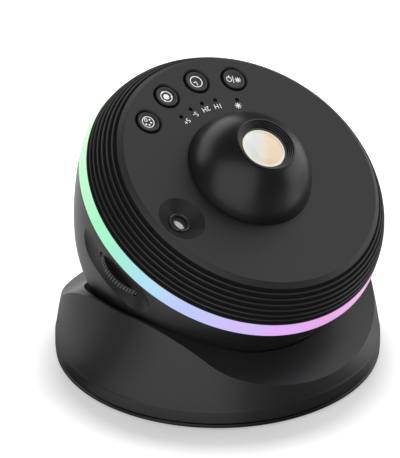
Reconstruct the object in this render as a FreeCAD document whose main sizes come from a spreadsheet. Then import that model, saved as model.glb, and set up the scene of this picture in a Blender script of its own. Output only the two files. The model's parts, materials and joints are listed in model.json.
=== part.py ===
import FreeCAD, Part
import math
import os
import Sketcher

# Planetarium projector: a round head that leans forward in a saddle-shaped base.
# Object frame: +Z up, origin at the centre of the underside, the head leans towards -Y.
# Head frame: origin at the centre of the socket, z along the head's own axis, y up the
# slope of the face. All head pieces are modelled upright there and leaned together.

# ---------------------------------------------------------------- driving dimensions, mm
SIZES = {
    # stance
    "lean": 30,                  # degrees, head axis from the vertical
    "pivot_rise": 1,             # centre of the socket above the ball's own radius
    "touch_gap": 0.05,           # between parts that are assembled face to face
    "running_gap": 0.1,          # round a shaft or a rotating ring
    "shell_wall": 2.2,
    "overrun": 1,                # how far a cutting tool reaches past a face
    "root_sink": 0.5,            # how far a boss sinks into what carries it
    # foot
    "foot_inset": 0.2,
    "foot_plate_low": 0.4,
    "foot_plate_top": 1.9,
    "rubber_width": 9,
    "rubber_inset": 3.8,
    "rubber_top": 1.2,
    "glide_width": 5,
    "glide_inset": 6.8,
    "turntable_gap": 0.6,
    "hub_inset": 35,             # wall of the turntable hub inside the base's radius
    "hub_wall": 4,
    "clamp_overlap": 2.2,
    "clamp_thickness": 1.4,
    # base
    "base_overhang": 7.5,
    "base_band_top": 8.2,
    "band_step": 0.2,
    "flank_lean": 6.7,
    "flank_arc": 190,
    "ear_drop": 17,              # top of the ears below the centre of the socket
    "crest_half": 9,             # half the flat on top of each ear
    "crest_angle": 5,            # degrees, fall of the saddle where the crest begins
    "crest_arc": 54,
    "steep_angle": 41,           # degrees, steepest fall of the saddle
    "slope_arc": 60,
    "rim_angle": 26,             # degrees, fall of the saddle at its rim
    "socket_gap": 3,
    "base_wall": 2.4,
    "ledge_thickness": 2.0,
    "ledge_width": 2.5,
    "floor_thickness": 1.8,
    "weight_boss_gap": 1.6,
    "weight_wall_gap": 2.1,
    "weight_height": 4.4,
    "floor_boss_gap": 3.7,
    "floor_boss_radius": 2.8,
    "floor_boss_top": 13,
    "floor_screw_length": 5.4,
    "pad_low_angle": 46,         # degrees from straight down
    "pad_high_angle": 56,
    "pad_width_angle": 24,
    "pad_clearance": 0.4,
    # lower shell of the head
    "ball_radius": 57.5,
    "ball_low_angle": 48,        # degrees from straight down
    "ball_high_angle": 66.4,
    "bowl_flat_radius": 24,
    "bowl_flat_rise": 9,
    "bowl_foot_arc": 31.1,
    "bowl_flank_arc": 195.7,
    "bowl_flare": 6.6,
    "ring_low": 12,
    "lip_inset": 3.3,
    "lip_thickness": 1.4,
    "lip_height": 1.2,
    "lip_root_inset": 2.9,
    "lip_root_drop": 3,
    "lip_root_fall": 0.6,
    "shell_screw_length": 14.3,
    # finger scoop and focus wheel
    "scoop_mid_out": 3.95,
    "scoop_height": 0.5,
    "scoop_slope": 14,           # degrees, lean of the bowl's wall there
    "scoop_ball": 21,
    "scoop_depth": 2.8,
    "scoop_turn": 88.5,          # degrees round the head, from the top of the face
    "scoop_sweep": 23.8,
    "scoop_wall": 2,
    "slot_length": 23.4,
    "slot_back": 7.5,
    "slot_gap": 0.5,
    "wheel_pocket_gap": 0.5,
    "wheel_radius": 15.2,
    "wheel_half": 1.4,
    "rib_count": 70,
    "rib_height": 0.5,
    "rib_width": 0.8,
    "axle_radius": 1.5,
    "wheel_boss_radius": 3,
    "wheel_teeth": 19,
    "wheel_reach": 2.55,         # how far the thumb wheel stands out of the scoop
    "focus_module": 1,
    "focus_gear_low": 2.4,
    "focus_gear_thickness": 3.4,
    "focus_rim_width": 3.4,
    "focus_web_inset": 1.1,
    "nut_wall": 3,
    "nut_top": 9,
    # light ring
    "light_step": 0.2,
    "light_taper": 0.7,
    "ring_high": 18.4,
    "light_thickness": 3.2,
    "light_ledge_width": 1.3,
    "led_board_width": 9,
    "led_board_gap": 0.6,
    "led_board_thickness": 1.4,
    "ring_led_count": 24,
    "led_width": 3.2,
    "led_depth": 2.6,
    "led_height": 1.2,
    # upper shell
    "band_inset": 0.1,
    "shoulder_width": 9.3,
    "face_height": 35.2,
    "face_thickness": 2.2,
    "band_low_lean": 84,         # degrees, slope of the grooved band at its foot
    "band_high_lean": 38,        # degrees, slope of the grooved band at the face
    "groove_count": 7,
    "groove_depth": 0.8,
    "groove_width": 1.7,
    "inner_shoulder_inset": 2.4,
    "inner_waist_inset": 3.1,
    "inner_waist_rise": 2.1,
    "well_inset": 3,
    "column_inset": 5,
    "column_radius": 3.3,
    "column_screw_length": 9.6,
    # control face
    "button_inset": 9,
    "button_step": 21.6,         # degrees between neighbouring buttons
    "button_turn": -1.1,         # degrees, middle of the row from the top of the face
    "button_radius": 4.9,
    "button_groove": 0.5,
    "button_bevel": 0.6,
    "button_dish": 0.5,
    "button_edge": 0.8,
    "button_flange_width": 1.4,
    "button_flange_thickness": 1,
    "button_flange_gap": 0.6,
    "button_stem_radius": 1.6,
    "button_stem_drop": 0.7,
    "switch_gap": 0.9,
    "switch_size": 6,
    "pinhole_inset": 19.2,
    "pinhole_radius": 0.95,
    "board_inner_edge": 5,
    "board_inset": 3.2,
    "board_sweep": 94,
    "board_drop": 7.6,
    "board_thickness": 1.6,
    "board_post_inset": 14.2,
    "board_post_radius": 2,
    # laser port
    "laser_inset": 11.2,
    "laser_y": -4.4,
    "laser_mouth_radius": 10.05,
    "laser_throat_radius": 4.4,
    "laser_depth": 3.3,
    "laser_wall": 1.6,
    "laser_sleeve_radius": 5,
    "laser_sleeve_drop": 9.2,
    "laser_bore": 3.6,
    "laser_window_thickness": 0.9,
    "laser_drop": 20.2,
    "bezel_inner": 3.2,
    "bezel_height": 0.4,
    # dome and lens
    "dome_radius": 27,
    "dome_drop": 5.5,            # centre of the dome's sphere below the face
    "dome_wall": 2,
    "dome_seam": 0.3,
    "dome_lip": 1,
    "skirt_drop": 5.2,
    "skirt_wall": 1.2,
    "skirt_gap": 0.3,
    "hood_radius": 12.25,
    "hood_rise": 0.439,          # rim of the hood above the opening of the dome
    "hood_lip": 0.55,
    "hood_steps": 4,
    "hood_step_depth": 0.6,
    "hood_throat_gap": 0.25,
    "hood_flange_width": 1.35,
    "hood_flange_drop": 4.2,
    "hood_flange_thickness": 1,
    "hood_height": 9.2,
    "hood_wall": 0.85,
    "barrel_length": 19,
    "barrel_drop": 3.7,
    "lens_seat_width": 1.55,
    "lens_radius": 9.05,
    "front_lens_drop": 7.15,
    "front_lens_edge": 3.3,
    "front_lens_bulge": 1.7,
    "rear_lens_edge": 3,
    "rear_lens_bulge": 1.2,
    "rear_lens_depth": 5,
    # chassis
    "chassis_top": -5.5,
    "chassis_thickness": 2,
    "chassis_inset": 6.5,
    "pillar_gap": 0.4,
    "pillar_radius": 3.2,
    "tube_inner": 14,
    "tube_wall": 2,
    "tube_low": -14.3,
    "tube_high": 20,
    "tube_flange_width": 5,
    "tube_flange_thickness": 1.2,
    "tube_collar_low": 1,
    "tube_collar_top": 2.2,
    "tube_seat_width": 1.2,
    "lens_seat_low": 10,
    "lens_seat_high": 12,
    "condenser_edge": 2.5,
    "condenser_bulge": 3,
    "lamp_board_thickness": 1.5,
    "emitter_radius": 2.5,
    "emitter_height": 1,
    "sink_overlap": 0.5,
    "sink_core": 4,
    "sink_clearance": 8.5,       # from the outside of the bowl's flat to the heat sink
    "sink_fins": 7,
    "sink_fin_thickness": 1.4,
    "main_board_gap": 1.2,
    "main_board_inset": 7,
    "main_board_drop": 4.9,
    "main_board_thickness": 1.6,
    "board_stand_radius": 2,
    "chip_size": 9,
    "chip_height": 1.8,
    "chip_inset": 8,
    # film stage
    "sleeve_wall": 2.5,
    "sleeve_low": 4.5,
    "sleeve_high": 23,
    "stage_low": 17,
    "stage_thickness": 2,
    "stage_radius": 35,
    "rod_gap": 4.5,
    "rod_radius": 1.25,
    "rod_top": 24,
    "arm_width": 8,
    "arm_tip": 3.5,
    "arm_overlap": 3,
    "film_module": 0.8,
    "film_gear_inset": 0.3,
    "carrier_teeth": 60,
    "pinion_teeth": 12,
    "carrier_low": 19.3,
    "carrier_gear_top": 22.6,
    "carrier_rim_width": 2.5,
    "carrier_rim_top": 26.2,
    "carrier_web_gap": 0.4,
    "film_low": 25.2,
    "film_thickness": 0.8,
    "film_seat_width": 1.7,
    "motor_radius": 6,
    "motor_low": 9.5,
    "motor_pit": 1,
    "shaft_radius": 0.75,
    # usb inlet
    "usb_turn": 174.5,           # degrees round the head, from the top of the face
    "usb_width": 8.9,
    "usb_height": 3.2,
    "usb_wall": 0.35,
    "usb_back_wall": 0.7,
    "usb_gap": 0.15,
    "usb_hole_gap": 2,
    "usb_length": 7.3,
    "usb_inset": 2.5,
    "usb_board_top": 1.8,
    "usb_board_length": 14,
    "usb_board_width": 16,
    "usb_board_thickness": 1.2,
    "usb_post_radius": 2,
    "usb_post_turn": 7,
    # screws
    "screw_radius": 1.25,
    "screw_head_radius": 2.4,
    "screw_head_height": 1.2,
    "thread_gap": 0.05,
    "foot_screw_inset": 2,
}

# sizes that follow from the driving ones, as formulas of the same sheet
FORMULAS = {
    "pivot_height": "ball_radius + pivot_rise",
    "base_radius": "ball_radius + base_overhang",
    "hub_inner": "base_radius - hub_inset",
    "base_bore": "hub_inner + hub_wall",
    "clamp_outer": "base_bore + clamp_overlap",
    "foot_radius": "base_radius - foot_inset",
    "rubber_outer": "foot_radius - rubber_inset",
    "rubber_inner": "rubber_outer - rubber_width",
    "glide_outer": "foot_radius - glide_inset",
    "glide_inner": "glide_outer - glide_width",
    "flank_foot_radius": "base_radius - band_step",
    "ear_top": "pivot_height - ear_drop",
    "socket_radius": "ball_radius + socket_gap",
    "flank_top_radius": "base_radius - flank_lean",
    "ledge_recess_radius": "base_bore + ledge_width",
    "weight_outer": "base_radius - base_wall - weight_wall_gap",
    "floor_boss_ring": "ledge_recess_radius + base_wall + floor_boss_gap",
    "weight_inner": "floor_boss_ring + floor_boss_radius + weight_boss_gap",
    "bowl_depth": "ball_radius - bowl_flat_rise",
    "bowl_top_radius": "ball_radius + bowl_flare",
    "lip_outer": "bowl_top_radius - lip_inset",
    "lip_inner": "lip_outer - lip_thickness",
    "lip_root_radius": "bowl_top_radius - lip_root_inset",
    "shell_screw_end": "shell_screw_length - bowl_depth",
    "scoop_mid_radius": "ball_radius + scoop_mid_out",
    "slot_reach": "ball_radius - slot_back",
    "wheel_place": "scoop_mid_radius - scoop_depth + wheel_reach - wheel_radius",
    "ring_teeth": "round(wheel_place * 2 / focus_module - wheel_teeth)",
    "light_low_radius": "bowl_top_radius + light_step",
    "light_high_radius": "light_low_radius - light_taper",
    "light_inner": "bowl_top_radius - light_thickness",
    "light_ledge_inner": "light_inner - light_ledge_width",
    "led_board_outer": "light_ledge_inner - led_board_gap",
    "led_board_inner": "led_board_outer - led_board_width",
    "band_low_radius": "light_high_radius - band_inset",
    "face_radius": "band_low_radius - shoulder_width",
    "inner_shoulder_radius": "face_radius - inner_shoulder_inset",
    "inner_waist_radius": "band_low_radius - inner_waist_inset",
    "inner_waist_height": "ring_high + inner_waist_rise",
    "well_radius": "dome_radius - well_inset",
    "column_screw_end": "chassis_top + column_screw_length",
    "button_ring": "face_radius - button_inset",
    "pinhole_ring": "face_radius - pinhole_inset",
    "button_dish_radius": "button_radius - button_edge",
    "button_flange_radius": "button_radius + button_flange_width",
    "board_inner": "pinhole_ring - board_inner_edge",
    "board_outer": "face_radius - board_inset",
    "board_top": "face_height - board_drop",
    "board_post_ring": "face_radius - board_post_inset",
    "laser_x": "laser_inset - face_radius",
    "laser_sleeve_low": "face_height - laser_sleeve_drop",
    "laser_low": "face_height - laser_drop",
    "skirt_low": "face_height - skirt_drop",
    "hood_top": "face_height - dome_drop + sqrt(dome_radius ^ 2 - hood_radius ^ 2) + hood_rise",
    "hood_throat": "lens_radius + hood_throat_gap",
    "hood_flange_radius": "hood_radius + hood_flange_width",
    "hood_flange_top": "hood_top - hood_flange_drop",
    "hood_low": "hood_top - hood_height",
    "barrel_radius": "hood_radius - hood_wall",
    "barrel_top": "hood_top - barrel_drop",
    "barrel_low": "barrel_top - barrel_length",
    "barrel_bore": "lens_radius - lens_seat_width",
    "front_lens_low": "hood_top - front_lens_drop",
    "rear_lens_seat": "barrel_low + rear_lens_depth",
    "chassis_radius": "ball_radius - chassis_inset",
    "column_ring": "chassis_radius - column_inset",
    "tube_outer": "tube_inner + tube_wall",
    "pillar_ring": "tube_outer + pillar_radius + pillar_gap",
    "tube_flange_radius": "tube_outer + tube_flange_width",
    "lens_seat_radius": "tube_inner - tube_seat_width",
    "sink_radius": "tube_inner + sink_overlap",
    "sink_low": "sink_clearance - bowl_depth",
    "main_board_inner": "pillar_ring + pillar_radius + main_board_gap",
    "main_board_outer": "chassis_radius - main_board_inset",
    "board_stand_ring": "(main_board_inner + main_board_outer) / 2",
    "chip_ring": "main_board_outer - chip_inset",
    "sleeve_outer": "tube_outer + sleeve_wall",
    "nut_outer": "sleeve_outer + nut_wall",
    "rod_ring": "ring_teeth * focus_module / 2 + rod_gap",
    "arm_reach": "rod_ring + arm_tip",
    "film_radius": "sleeve_outer",
    "film_window": "film_radius - film_seat_width",
    "usb_front": "bowl_top_radius - usb_inset",
    "usb_hole_back": "chassis_radius + usb_hole_gap",
    "foot_screw_ring": "base_bore - foot_screw_inset",
    "carrier_rim_outer": "film_radius + carrier_rim_width",
}

document = FreeCAD.newDocument("PlanetariumProjector")
sheet = document.addObject("Spreadsheet::Sheet", "Sizes")
entries = {alias: str(number) for alias, number in SIZES.items()}
entries.update({alias: "=" + formula for alias, formula in FORMULAS.items()})
for row, (alias, entry) in enumerate(entries.items(), start=1):
    sheet.set(f"A{row}", alias)
    sheet.setAlias(f"B{row}", alias)
    sheet.set(f"B{row}", entry)
document.recompute()


# ---------------------------------------------------------------- sizes with a formula
class Size:
    """A number together with the formula that gives it from the sheet."""

    def __init__(self, number, formula=None):
        self.number = float(number)
        self.formula = formula if formula is not None else repr(float(number))

    def join(self, sign, other, number):
        return Size(number, f"({self.formula} {sign} {other.formula})")

    def __add__(self, other):
        other = as_size(other)
        return self.join("+", other, self.number + other.number)

    def __sub__(self, other):
        other = as_size(other)
        return self.join("-", other, self.number - other.number)

    def __mul__(self, other):
        other = as_size(other)
        return self.join("*", other, self.number * other.number)

    def __truediv__(self, other):
        other = as_size(other)
        return self.join("/", other, self.number / other.number)

    def __radd__(self, other):
        return as_size(other) + self

    def __rsub__(self, other):
        return as_size(other) - self

    def __rmul__(self, other):
        return as_size(other) * self

    def __neg__(self):
        return as_size(0) - self


def as_size(value):
    return value if isinstance(value, Size) else Size(value)


def sine(angle):
    angle = as_size(angle)
    return Size(math.sin(math.radians(angle.number)), f"sin({angle.formula})")


def cosine(angle):
    angle = as_size(angle)
    return Size(math.cos(math.radians(angle.number)), f"cos({angle.formula})")


def root(value):
    return Size(math.sqrt(value.number), f"sqrt({value.formula})")


class Sheet:
    """Reads a size of the sheet by its name."""

    def __getattr__(self, alias):
        return Size(sheet.get(alias), f"Sizes.{alias}")


dim = Sheet()

# sizes that several pieces share, worked out once
base_low = dim.foot_plate_top + dim.turntable_gap
ledge_top = base_low + dim.ledge_thickness
clamp_low = ledge_top + dim.running_gap
face_under = dim.face_height - dim.face_thickness
sphere_height = dim.face_height - dim.dome_drop
dome_foot = dim.face_height + dim.dome_seam
wheel_gear_radius = dim.focus_module * dim.wheel_teeth / 2
ring_gear_radius = dim.focus_module * dim.ring_teeth / 2
wheel_x = -(wheel_gear_radius + ring_gear_radius)
focus_gear_high = dim.focus_gear_low + dim.focus_gear_thickness
carrier_gear_radius = dim.film_module * dim.carrier_teeth / 2
pinion_gear_radius = dim.film_module * dim.pinion_teeth / 2
pinion_x = carrier_gear_radius + pinion_gear_radius
chassis_low = dim.chassis_top - dim.chassis_thickness
bowl_floor = dim.shell_wall - dim.bowl_depth
board_low = dim.board_top - dim.board_thickness
flange_top = face_under - dim.button_flange_gap
flange_low = flange_top - dim.button_flange_thickness
stem_low = flange_low - dim.button_stem_drop
main_board_top = chassis_low - dim.main_board_drop
sleeve_bore = dim.tube_outer + dim.touch_gap
nut_bore = dim.sleeve_outer + dim.running_gap


# ---------------------------------------------------------------- modelling helpers
def plane_of(body, role):
    for feature in body.Origin.OriginFeatures:
        if feature.Role == role:
            return feature
    raise ValueError(role)


def bind(thing, path, size):
    thing.setExpression(path, as_size(size).formula)


def put(thing, x=0, y=0, z=0):
    """Places a piece of a boolean at a point given by sizes."""
    thing.Placement.Base = FreeCAD.Vector(*[as_size(value).number for value in (x, y, z)])
    for axis, value in zip("xyz", (x, y, z)):
        bind(thing, f"Placement.Base.{axis}", value)
    return thing


def turn(thing, angle, axis=FreeCAD.Vector(0, 0, 1)):
    thing.Placement.Rotation = FreeCAD.Rotation(axis, as_size(angle).number)
    bind(thing, "Placement.Rotation.Angle", angle)
    return thing


def arc_edge(start, end, radius):
    """Arc from start to end; a positive radius turns left, a negative one turns right."""
    chord = end - start
    middle = (start + end) / 2
    side = FreeCAD.Vector(-chord.y, chord.x, 0).normalize()
    reach = math.sqrt(max(radius ** 2 - (chord.Length / 2) ** 2, 0))
    centre = middle + side * reach * (1 if radius > 0 else -1)
    first, last = (start, end) if radius > 0 else (end, start)
    from_angle = math.atan2(first.y - centre.y, first.x - centre.x)
    to_angle = math.atan2(last.y - centre.y, last.x - centre.x)
    circle = Part.Circle(centre, FreeCAD.Vector(0, 0, 1), abs(radius))
    return Part.ArcOfCircle(circle, from_angle, to_angle)


def outline(body, label, plane, corners):
    """Closed sketch through corners (across, up) or (across, up, radius of the arc to it)."""
    sketch = body.newObject("Sketcher::SketchObject", label + "_outline")
    sketch.AttachmentSupport = [(plane_of(body, plane), "")]
    sketch.MapMode = "FlatFace"
    corners = [tuple(as_size(value) for value in corner) for corner in corners]
    points = [FreeCAD.Vector(corner[0].number, corner[1].number, 0) for corner in corners]
    count = len(corners)
    ends = []
    for index in range(count):
        following = (index + 1) % count
        if len(corners[following]) == 3:
            radius = corners[following][2].number
            sketch.addGeometry(arc_edge(points[index], points[following], radius), False)
            ends.append((1, 2) if radius > 0 else (2, 1))
        else:
            sketch.addGeometry(Part.LineSegment(points[index], points[following]), False)
            ends.append((1, 2))
    rules = []
    formulas = {}
    for index in range(count):
        before = index - 1 if index else count - 1
        rules.append(Sketcher.Constraint("Coincident", before, ends[before][1], index, ends[index][0]))
    for index, corner in enumerate(corners):
        for kind, axis, value in (("DistanceX", -2, corner[0]), ("DistanceY", -1, corner[1])):
            if value.formula == "0.0":
                rules.append(Sketcher.Constraint("PointOnObject", index, ends[index][0], axis))
            else:
                formulas[len(rules)] = value.formula
                rules.append(Sketcher.Constraint(kind, -1, 1, index, ends[index][0], value.number))
        if len(corner) == 3:
            edge = index - 1 if index else count - 1
            radius = corner[2]
            formulas[len(rules)] = radius.formula if radius.number > 0 else f"-({radius.formula})"
            rules.append(Sketcher.Constraint("Radius", edge, abs(radius.number)))
    sketch.addConstraint(rules)
    for index, formula in formulas.items():
        sketch.setExpression(f"Constraints[{index}]", formula)
    return sketch


def turned(label, corners, sweep=None):
    """Body turned round its z axis from corners (radius, height) or with an arc radius."""
    body = document.addObject("PartDesign::Body", label)
    sketch = outline(body, label, "XZ_Plane", corners)
    feature = body.newObject("PartDesign::Revolution", label + "_turned")
    feature.Profile = sketch
    feature.ReferenceAxis = (sketch, ["V_Axis"])
    feature.Angle = 360
    if sweep is not None:
        feature.Midplane = True
        bind(feature, "Angle", sweep)
    sketch.Visibility = False
    body.Tip = feature
    return body


def ring(label, inner, outer, low, high):
    return turned(label, [(inner, low), (outer, low), (outer, high), (inner, high)])


def add_teeth(body, corners, low, high, count, phase=None):
    """Pads one tooth or rib with corners (out, across) and repeats it round the body."""
    name = body.Name + "_tooth"
    tooth = outline(body, name, "XY_Plane", corners)
    tooth.AttachmentOffset.Base = FreeCAD.Vector(0, 0, low.number)
    bind(tooth, "AttachmentOffset.Base.z", low)
    if phase is not None:
        tooth.AttachmentOffset = FreeCAD.Placement(
            tooth.AttachmentOffset.Base, FreeCAD.Rotation(FreeCAD.Vector(0, 0, 1), phase.number))
        bind(tooth, "AttachmentOffset.Rotation.Angle", phase)
    pad = body.newObject("PartDesign::Pad", name + "_pad")
    pad.Profile = tooth
    bind(pad, "Length", high - low)
    pattern = body.newObject("PartDesign::PolarPattern", name + "_pattern")
    pattern.Originals = [pad]
    pattern.Axis = (tooth, ["N_Axis"])
    pattern.Angle = 360
    pattern.Occurrences = int(count.number)
    bind(pattern, "Occurrences", count)
    body.Tip = pattern
    return body


# tooth form in shares of the module: how far out from the pitch circle, and half width there
TOOTH_SINK = 1.6
TOOTH_ROOT = 1.0
TOOTH_TIP = 0.8
TOOTH_ROOT_HALF = 1.0
TOOTH_MIDDLE_HALF = 0.66
TOOTH_TIP_HALF = 0.34


def gear_teeth(body, module, pitch_radius, low, high, count, phase=None):
    stations = [(-TOOTH_SINK, TOOTH_ROOT_HALF), (-TOOTH_ROOT, TOOTH_ROOT_HALF),
                (0, TOOTH_MIDDLE_HALF), (TOOTH_TIP, TOOTH_TIP_HALF)]
    right = [(pitch_radius + module * out, -(module * half)) for out, half in stations]
    left = [(pitch_radius + module * out, module * half) for out, half in reversed(stations)]
    return add_teeth(body, right + left, low, high, count, phase)


def cylinder(label, radius, low, high, x=0, y=0):
    solid = document.addObject("Part::Cylinder", label)
    bind(solid, "Radius", radius)
    bind(solid, "Height", high - low)
    return put(solid, x, y, low)


def block(label, length, width, low, high, x=0, y=0):
    """Box centred on x and y."""
    solid = document.addObject("Part::Box", label)
    bind(solid, "Length", length)
    bind(solid, "Width", width)
    bind(solid, "Height", high - low)
    return put(solid, x - length / 2, y - width / 2, low)


def ball(label, radius, x=0, y=0, z=0):
    solid = document.addObject("Part::Sphere", label)
    bind(solid, "Radius", radius)
    return put(solid, x, y, z)


def group(label, members):
    compound = document.addObject("Part::Compound", label)
    compound.Links = members
    return compound


def fused(label, members):
    fusion = document.addObject("Part::MultiFuse", label)
    fusion.Shapes = members
    return fusion


def shared(label, members):
    common = document.addObject("Part::MultiCommon", label)
    common.Shapes = members
    return common


def cut(label, base, tool):
    result = document.addObject("Part::Cut", label)
    result.Base = base
    result.Tool = tool
    return result


def polar(radius, angle):
    """Point on a circle; the angle runs anticlockwise from +y, the top of the face."""
    return -(radius * sine(angle)), radius * cosine(angle)


def screw_row(label, ring_radius, angles, shank_end, head_low, up):
    """Screws that stand on a circle, and the holes for them; up when the head is below."""
    screws = []
    holes = []
    for index, angle in enumerate(angles):
        x, y = polar(ring_radius, angle)
        head_high = head_low + dim.screw_head_height
        head = cylinder(f"{label}_head{index}", dim.screw_head_radius, head_low, head_high, x, y)
        if up:
            shank = cylinder(f"{label}_shank{index}", dim.screw_radius, head_high, shank_end, x, y)
        else:
            shank = cylinder(f"{label}_shank{index}", dim.screw_radius, shank_end, head_low, x, y)
        screws.append(fused(f"{label}_screw{index}", [head, shank]))
        hole_radius = dim.screw_radius + dim.thread_gap
        bottom = head_low if up else shank_end
        top = shank_end if up else head_high
        holes.append(cylinder(f"{label}_hole{index}", hole_radius, bottom, top, x, y))
    return group(label, screws), fused(f"{label}_holes", holes)


PIECES = []


def piece(label, solid):
    """Registers a finished sub-part that stands upright in the object's frame."""
    solid.Label = label
    PIECES.append(solid)
    return solid


def head_piece(label, solid):
    """Registers a finished sub-part of the head and leans it with the head."""
    solid.Label = label
    solid.Placement = FreeCAD.Placement(
        FreeCAD.Vector(0, 0, dim.pivot_height.number),
        FreeCAD.Rotation(FreeCAD.Vector(1, 0, 0), dim.lean.number))
    bind(solid, "Placement.Base.z", dim.pivot_height)
    bind(solid, "Placement.Rotation.Angle", dim.lean)
    PIECES.append(solid)
    return solid


# degrees round an axis, from +y
QUARTERS = (45, 135, 225, 315)
THIRDS = (60, 180, 300)
COLUMN_ANGLES = (60, 125, 235, 300)
CHIP_ANGLES = (20, 110, 160, 250)
ROD_ANGLES = (0, 180)
# places in the button row, in steps from its middle
BUTTON_PLACES = (1.5, 0.5, -0.5, -1.5)
PINHOLE_PLACES = (0.725, 0.24, -0.25, -0.745, -1.495)
POST_PLACES = (1, -1)


# ---------------------------------------------------------------- foot
def build_foot():
    hub_outer = dim.base_bore - dim.running_gap
    plate = turned("foot_plate_blank", [
        (0, dim.foot_plate_low), (dim.rubber_inner, dim.foot_plate_low),
        (dim.rubber_inner, dim.rubber_top), (dim.rubber_outer, dim.rubber_top),
        (dim.rubber_outer, dim.foot_plate_low), (dim.foot_radius, dim.foot_plate_low),
        (dim.foot_radius, dim.foot_plate_top), (hub_outer, dim.foot_plate_top),
        (hub_outer, clamp_low), (dim.hub_inner, clamp_low),
        (dim.hub_inner, dim.foot_plate_top), (0, dim.foot_plate_top)])
    clamp_high = clamp_low + dim.clamp_thickness
    clamp = ring("clamp_blank", dim.hub_inner, dim.clamp_outer, clamp_low, clamp_high)
    screws, holes = screw_row("clamp_screws", dim.foot_screw_ring, QUARTERS,
                              dim.foot_plate_top, clamp_high, False)
    piece("foot_plate", cut("foot_plate", plate, holes))
    piece("foot_ring", ring("foot_ring", dim.rubber_inner, dim.rubber_outer, 0, dim.rubber_top))
    piece("glide_ring", ring("glide_ring", dim.glide_inner, dim.glide_outer,
                             dim.foot_plate_top, base_low - dim.touch_gap))
    piece("turntable_clamp", cut("turntable_clamp", clamp, holes))
    piece("clamp_screws", screws)


# ---------------------------------------------------------------- base
def ball_point(radius, angle):
    """Point on a sphere's outline; the angle runs from straight down."""
    return radius * sine(angle), -(radius * cosine(angle))


def saddle_space(label, wall, side):
    """The space over one slope of the saddle: a round crest that runs out in a hollow arc."""
    start, steep, rim = dim.crest_angle, dim.steep_angle, dim.rim_angle
    knee_y = dim.crest_half + dim.crest_arc * (sine(steep) - sine(start))
    knee_z = dim.ear_top - dim.crest_arc * (cosine(start) - cosine(steep))
    rim_y = knee_y + dim.slope_arc * (sine(steep) - sine(rim))
    rim_z = knee_z - dim.slope_arc * (cosine(rim) - cosine(steep))
    low_y = rim_y - wall * sine(rim)
    low_z = rim_z - wall * cosine(rim)
    reach = dim.base_radius * 2
    space = document.addObject("PartDesign::Body", label)
    profile = outline(space, label, "YZ_Plane", [
        ((dim.crest_half - wall * sine(start)) * side, dim.ear_top - wall * cosine(start)),
        ((knee_y - wall * sine(steep)) * side, knee_z - wall * cosine(steep),
         (dim.crest_arc - wall) * -side),
        (low_y * side, low_z, (dim.slope_arc + wall) * side),
        (reach * side, low_z - (reach - low_y) * sine(rim) / cosine(rim)),
        (reach * side, reach),
        ((dim.crest_half - wall * sine(start)) * side, reach)])
    pad = space.newObject("PartDesign::Pad", label + "_pad")
    pad.Profile = profile
    pad.Midplane = True
    bind(pad, "Length", reach * 2)
    space.Tip = pad
    return space


def saddle(label, wall, floor_height):
    """Saddle blank, moved inwards by a wall, and the tools for its slopes and its socket."""
    body = turned(label + "_blank", [
        (0, floor_height), (dim.base_radius - wall, floor_height),
        (dim.base_radius - wall, dim.base_band_top),
        (dim.flank_foot_radius - wall, dim.base_band_top),
        (dim.flank_top_radius - wall, dim.ear_top - wall, dim.flank_arc),
        (0, dim.ear_top - wall)])
    front = saddle_space(label + "_front", wall, -1)
    rear = saddle_space(label + "_rear", wall, 1)
    socket = ball(label + "_socket", dim.socket_radius + wall, 0, 0, dim.pivot_height)
    return body, [front, rear, socket]


def build_base():
    solid, tools = saddle("base_outside", as_size(0), base_low)
    bore = cylinder("base_bore_hole", dim.base_bore, 0, dim.ear_top)
    recess = cylinder("base_ledge_recess", dim.ledge_recess_radius, ledge_top, dim.ear_top)
    outside = cut("base_outside", solid, fused("base_outside_tools", tools + [bore, recess]))

    hollow, hollow_tools = saddle("base_hollow", dim.base_wall, as_size(0))
    inner_wall = cylinder("base_inner_wall", dim.ledge_recess_radius + dim.base_wall,
                          -dim.overrun, dim.ear_top)
    floor_high = base_low + dim.floor_thickness
    bosses = []
    for index, angle in enumerate(QUARTERS):
        x, y = polar(dim.floor_boss_ring, angle)
        boss = cylinder(f"floor_boss{index}", dim.floor_boss_radius, floor_high,
                        dim.floor_boss_top, x, y)
        bosses.append(boss)
    hollow_space = cut("base_hollow", hollow,
                       fused("base_hollow_tools", hollow_tools + [inner_wall] + bosses))
    screws, holes = screw_row("floor_screws", dim.floor_boss_ring, QUARTERS,
                              base_low + dim.floor_screw_length, base_low, True)
    shell = cut("base_shell_hollowed", outside, hollow_space)
    piece("base_shell", cut("base_shell", shell, holes))

    floor_ring = ring("floor_blank", dim.ledge_recess_radius + dim.base_wall + dim.touch_gap,
                      dim.base_radius - dim.base_wall - dim.touch_gap, base_low, floor_high)
    sinks = []
    for index, angle in enumerate(QUARTERS):
        x, y = polar(dim.floor_boss_ring, angle)
        sink = cylinder(f"floor_sink{index}", dim.screw_head_radius + dim.thread_gap, base_low,
                        base_low + dim.screw_head_height, x, y)
        sinks.append(sink)
    piece("base_floor", cut("base_floor", floor_ring, fused("floor_tools", sinks + [holes])))
    piece("floor_screws", screws)
    piece("base_weight", ring("base_weight", dim.weight_inner, dim.weight_outer, floor_high,
                              floor_high + dim.weight_height))

    inner = dim.ball_radius + dim.pad_clearance
    outer = dim.socket_radius
    low, high = dim.pad_low_angle, dim.pad_high_angle
    pad = turned("right_pad", [
        (*ball_point(inner, low), -inner), ball_point(outer, low),
        (*ball_point(outer, high), outer), ball_point(inner, high)], dim.pad_width_angle)
    put(pad, 0, 0, dim.pivot_height)
    other = document.addObject("Part::Mirroring", "left_pad")
    other.Source = pad
    other.Normal = FreeCAD.Vector(1, 0, 0)
    piece("side_pads", group("side_pads", [pad, other]))


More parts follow.
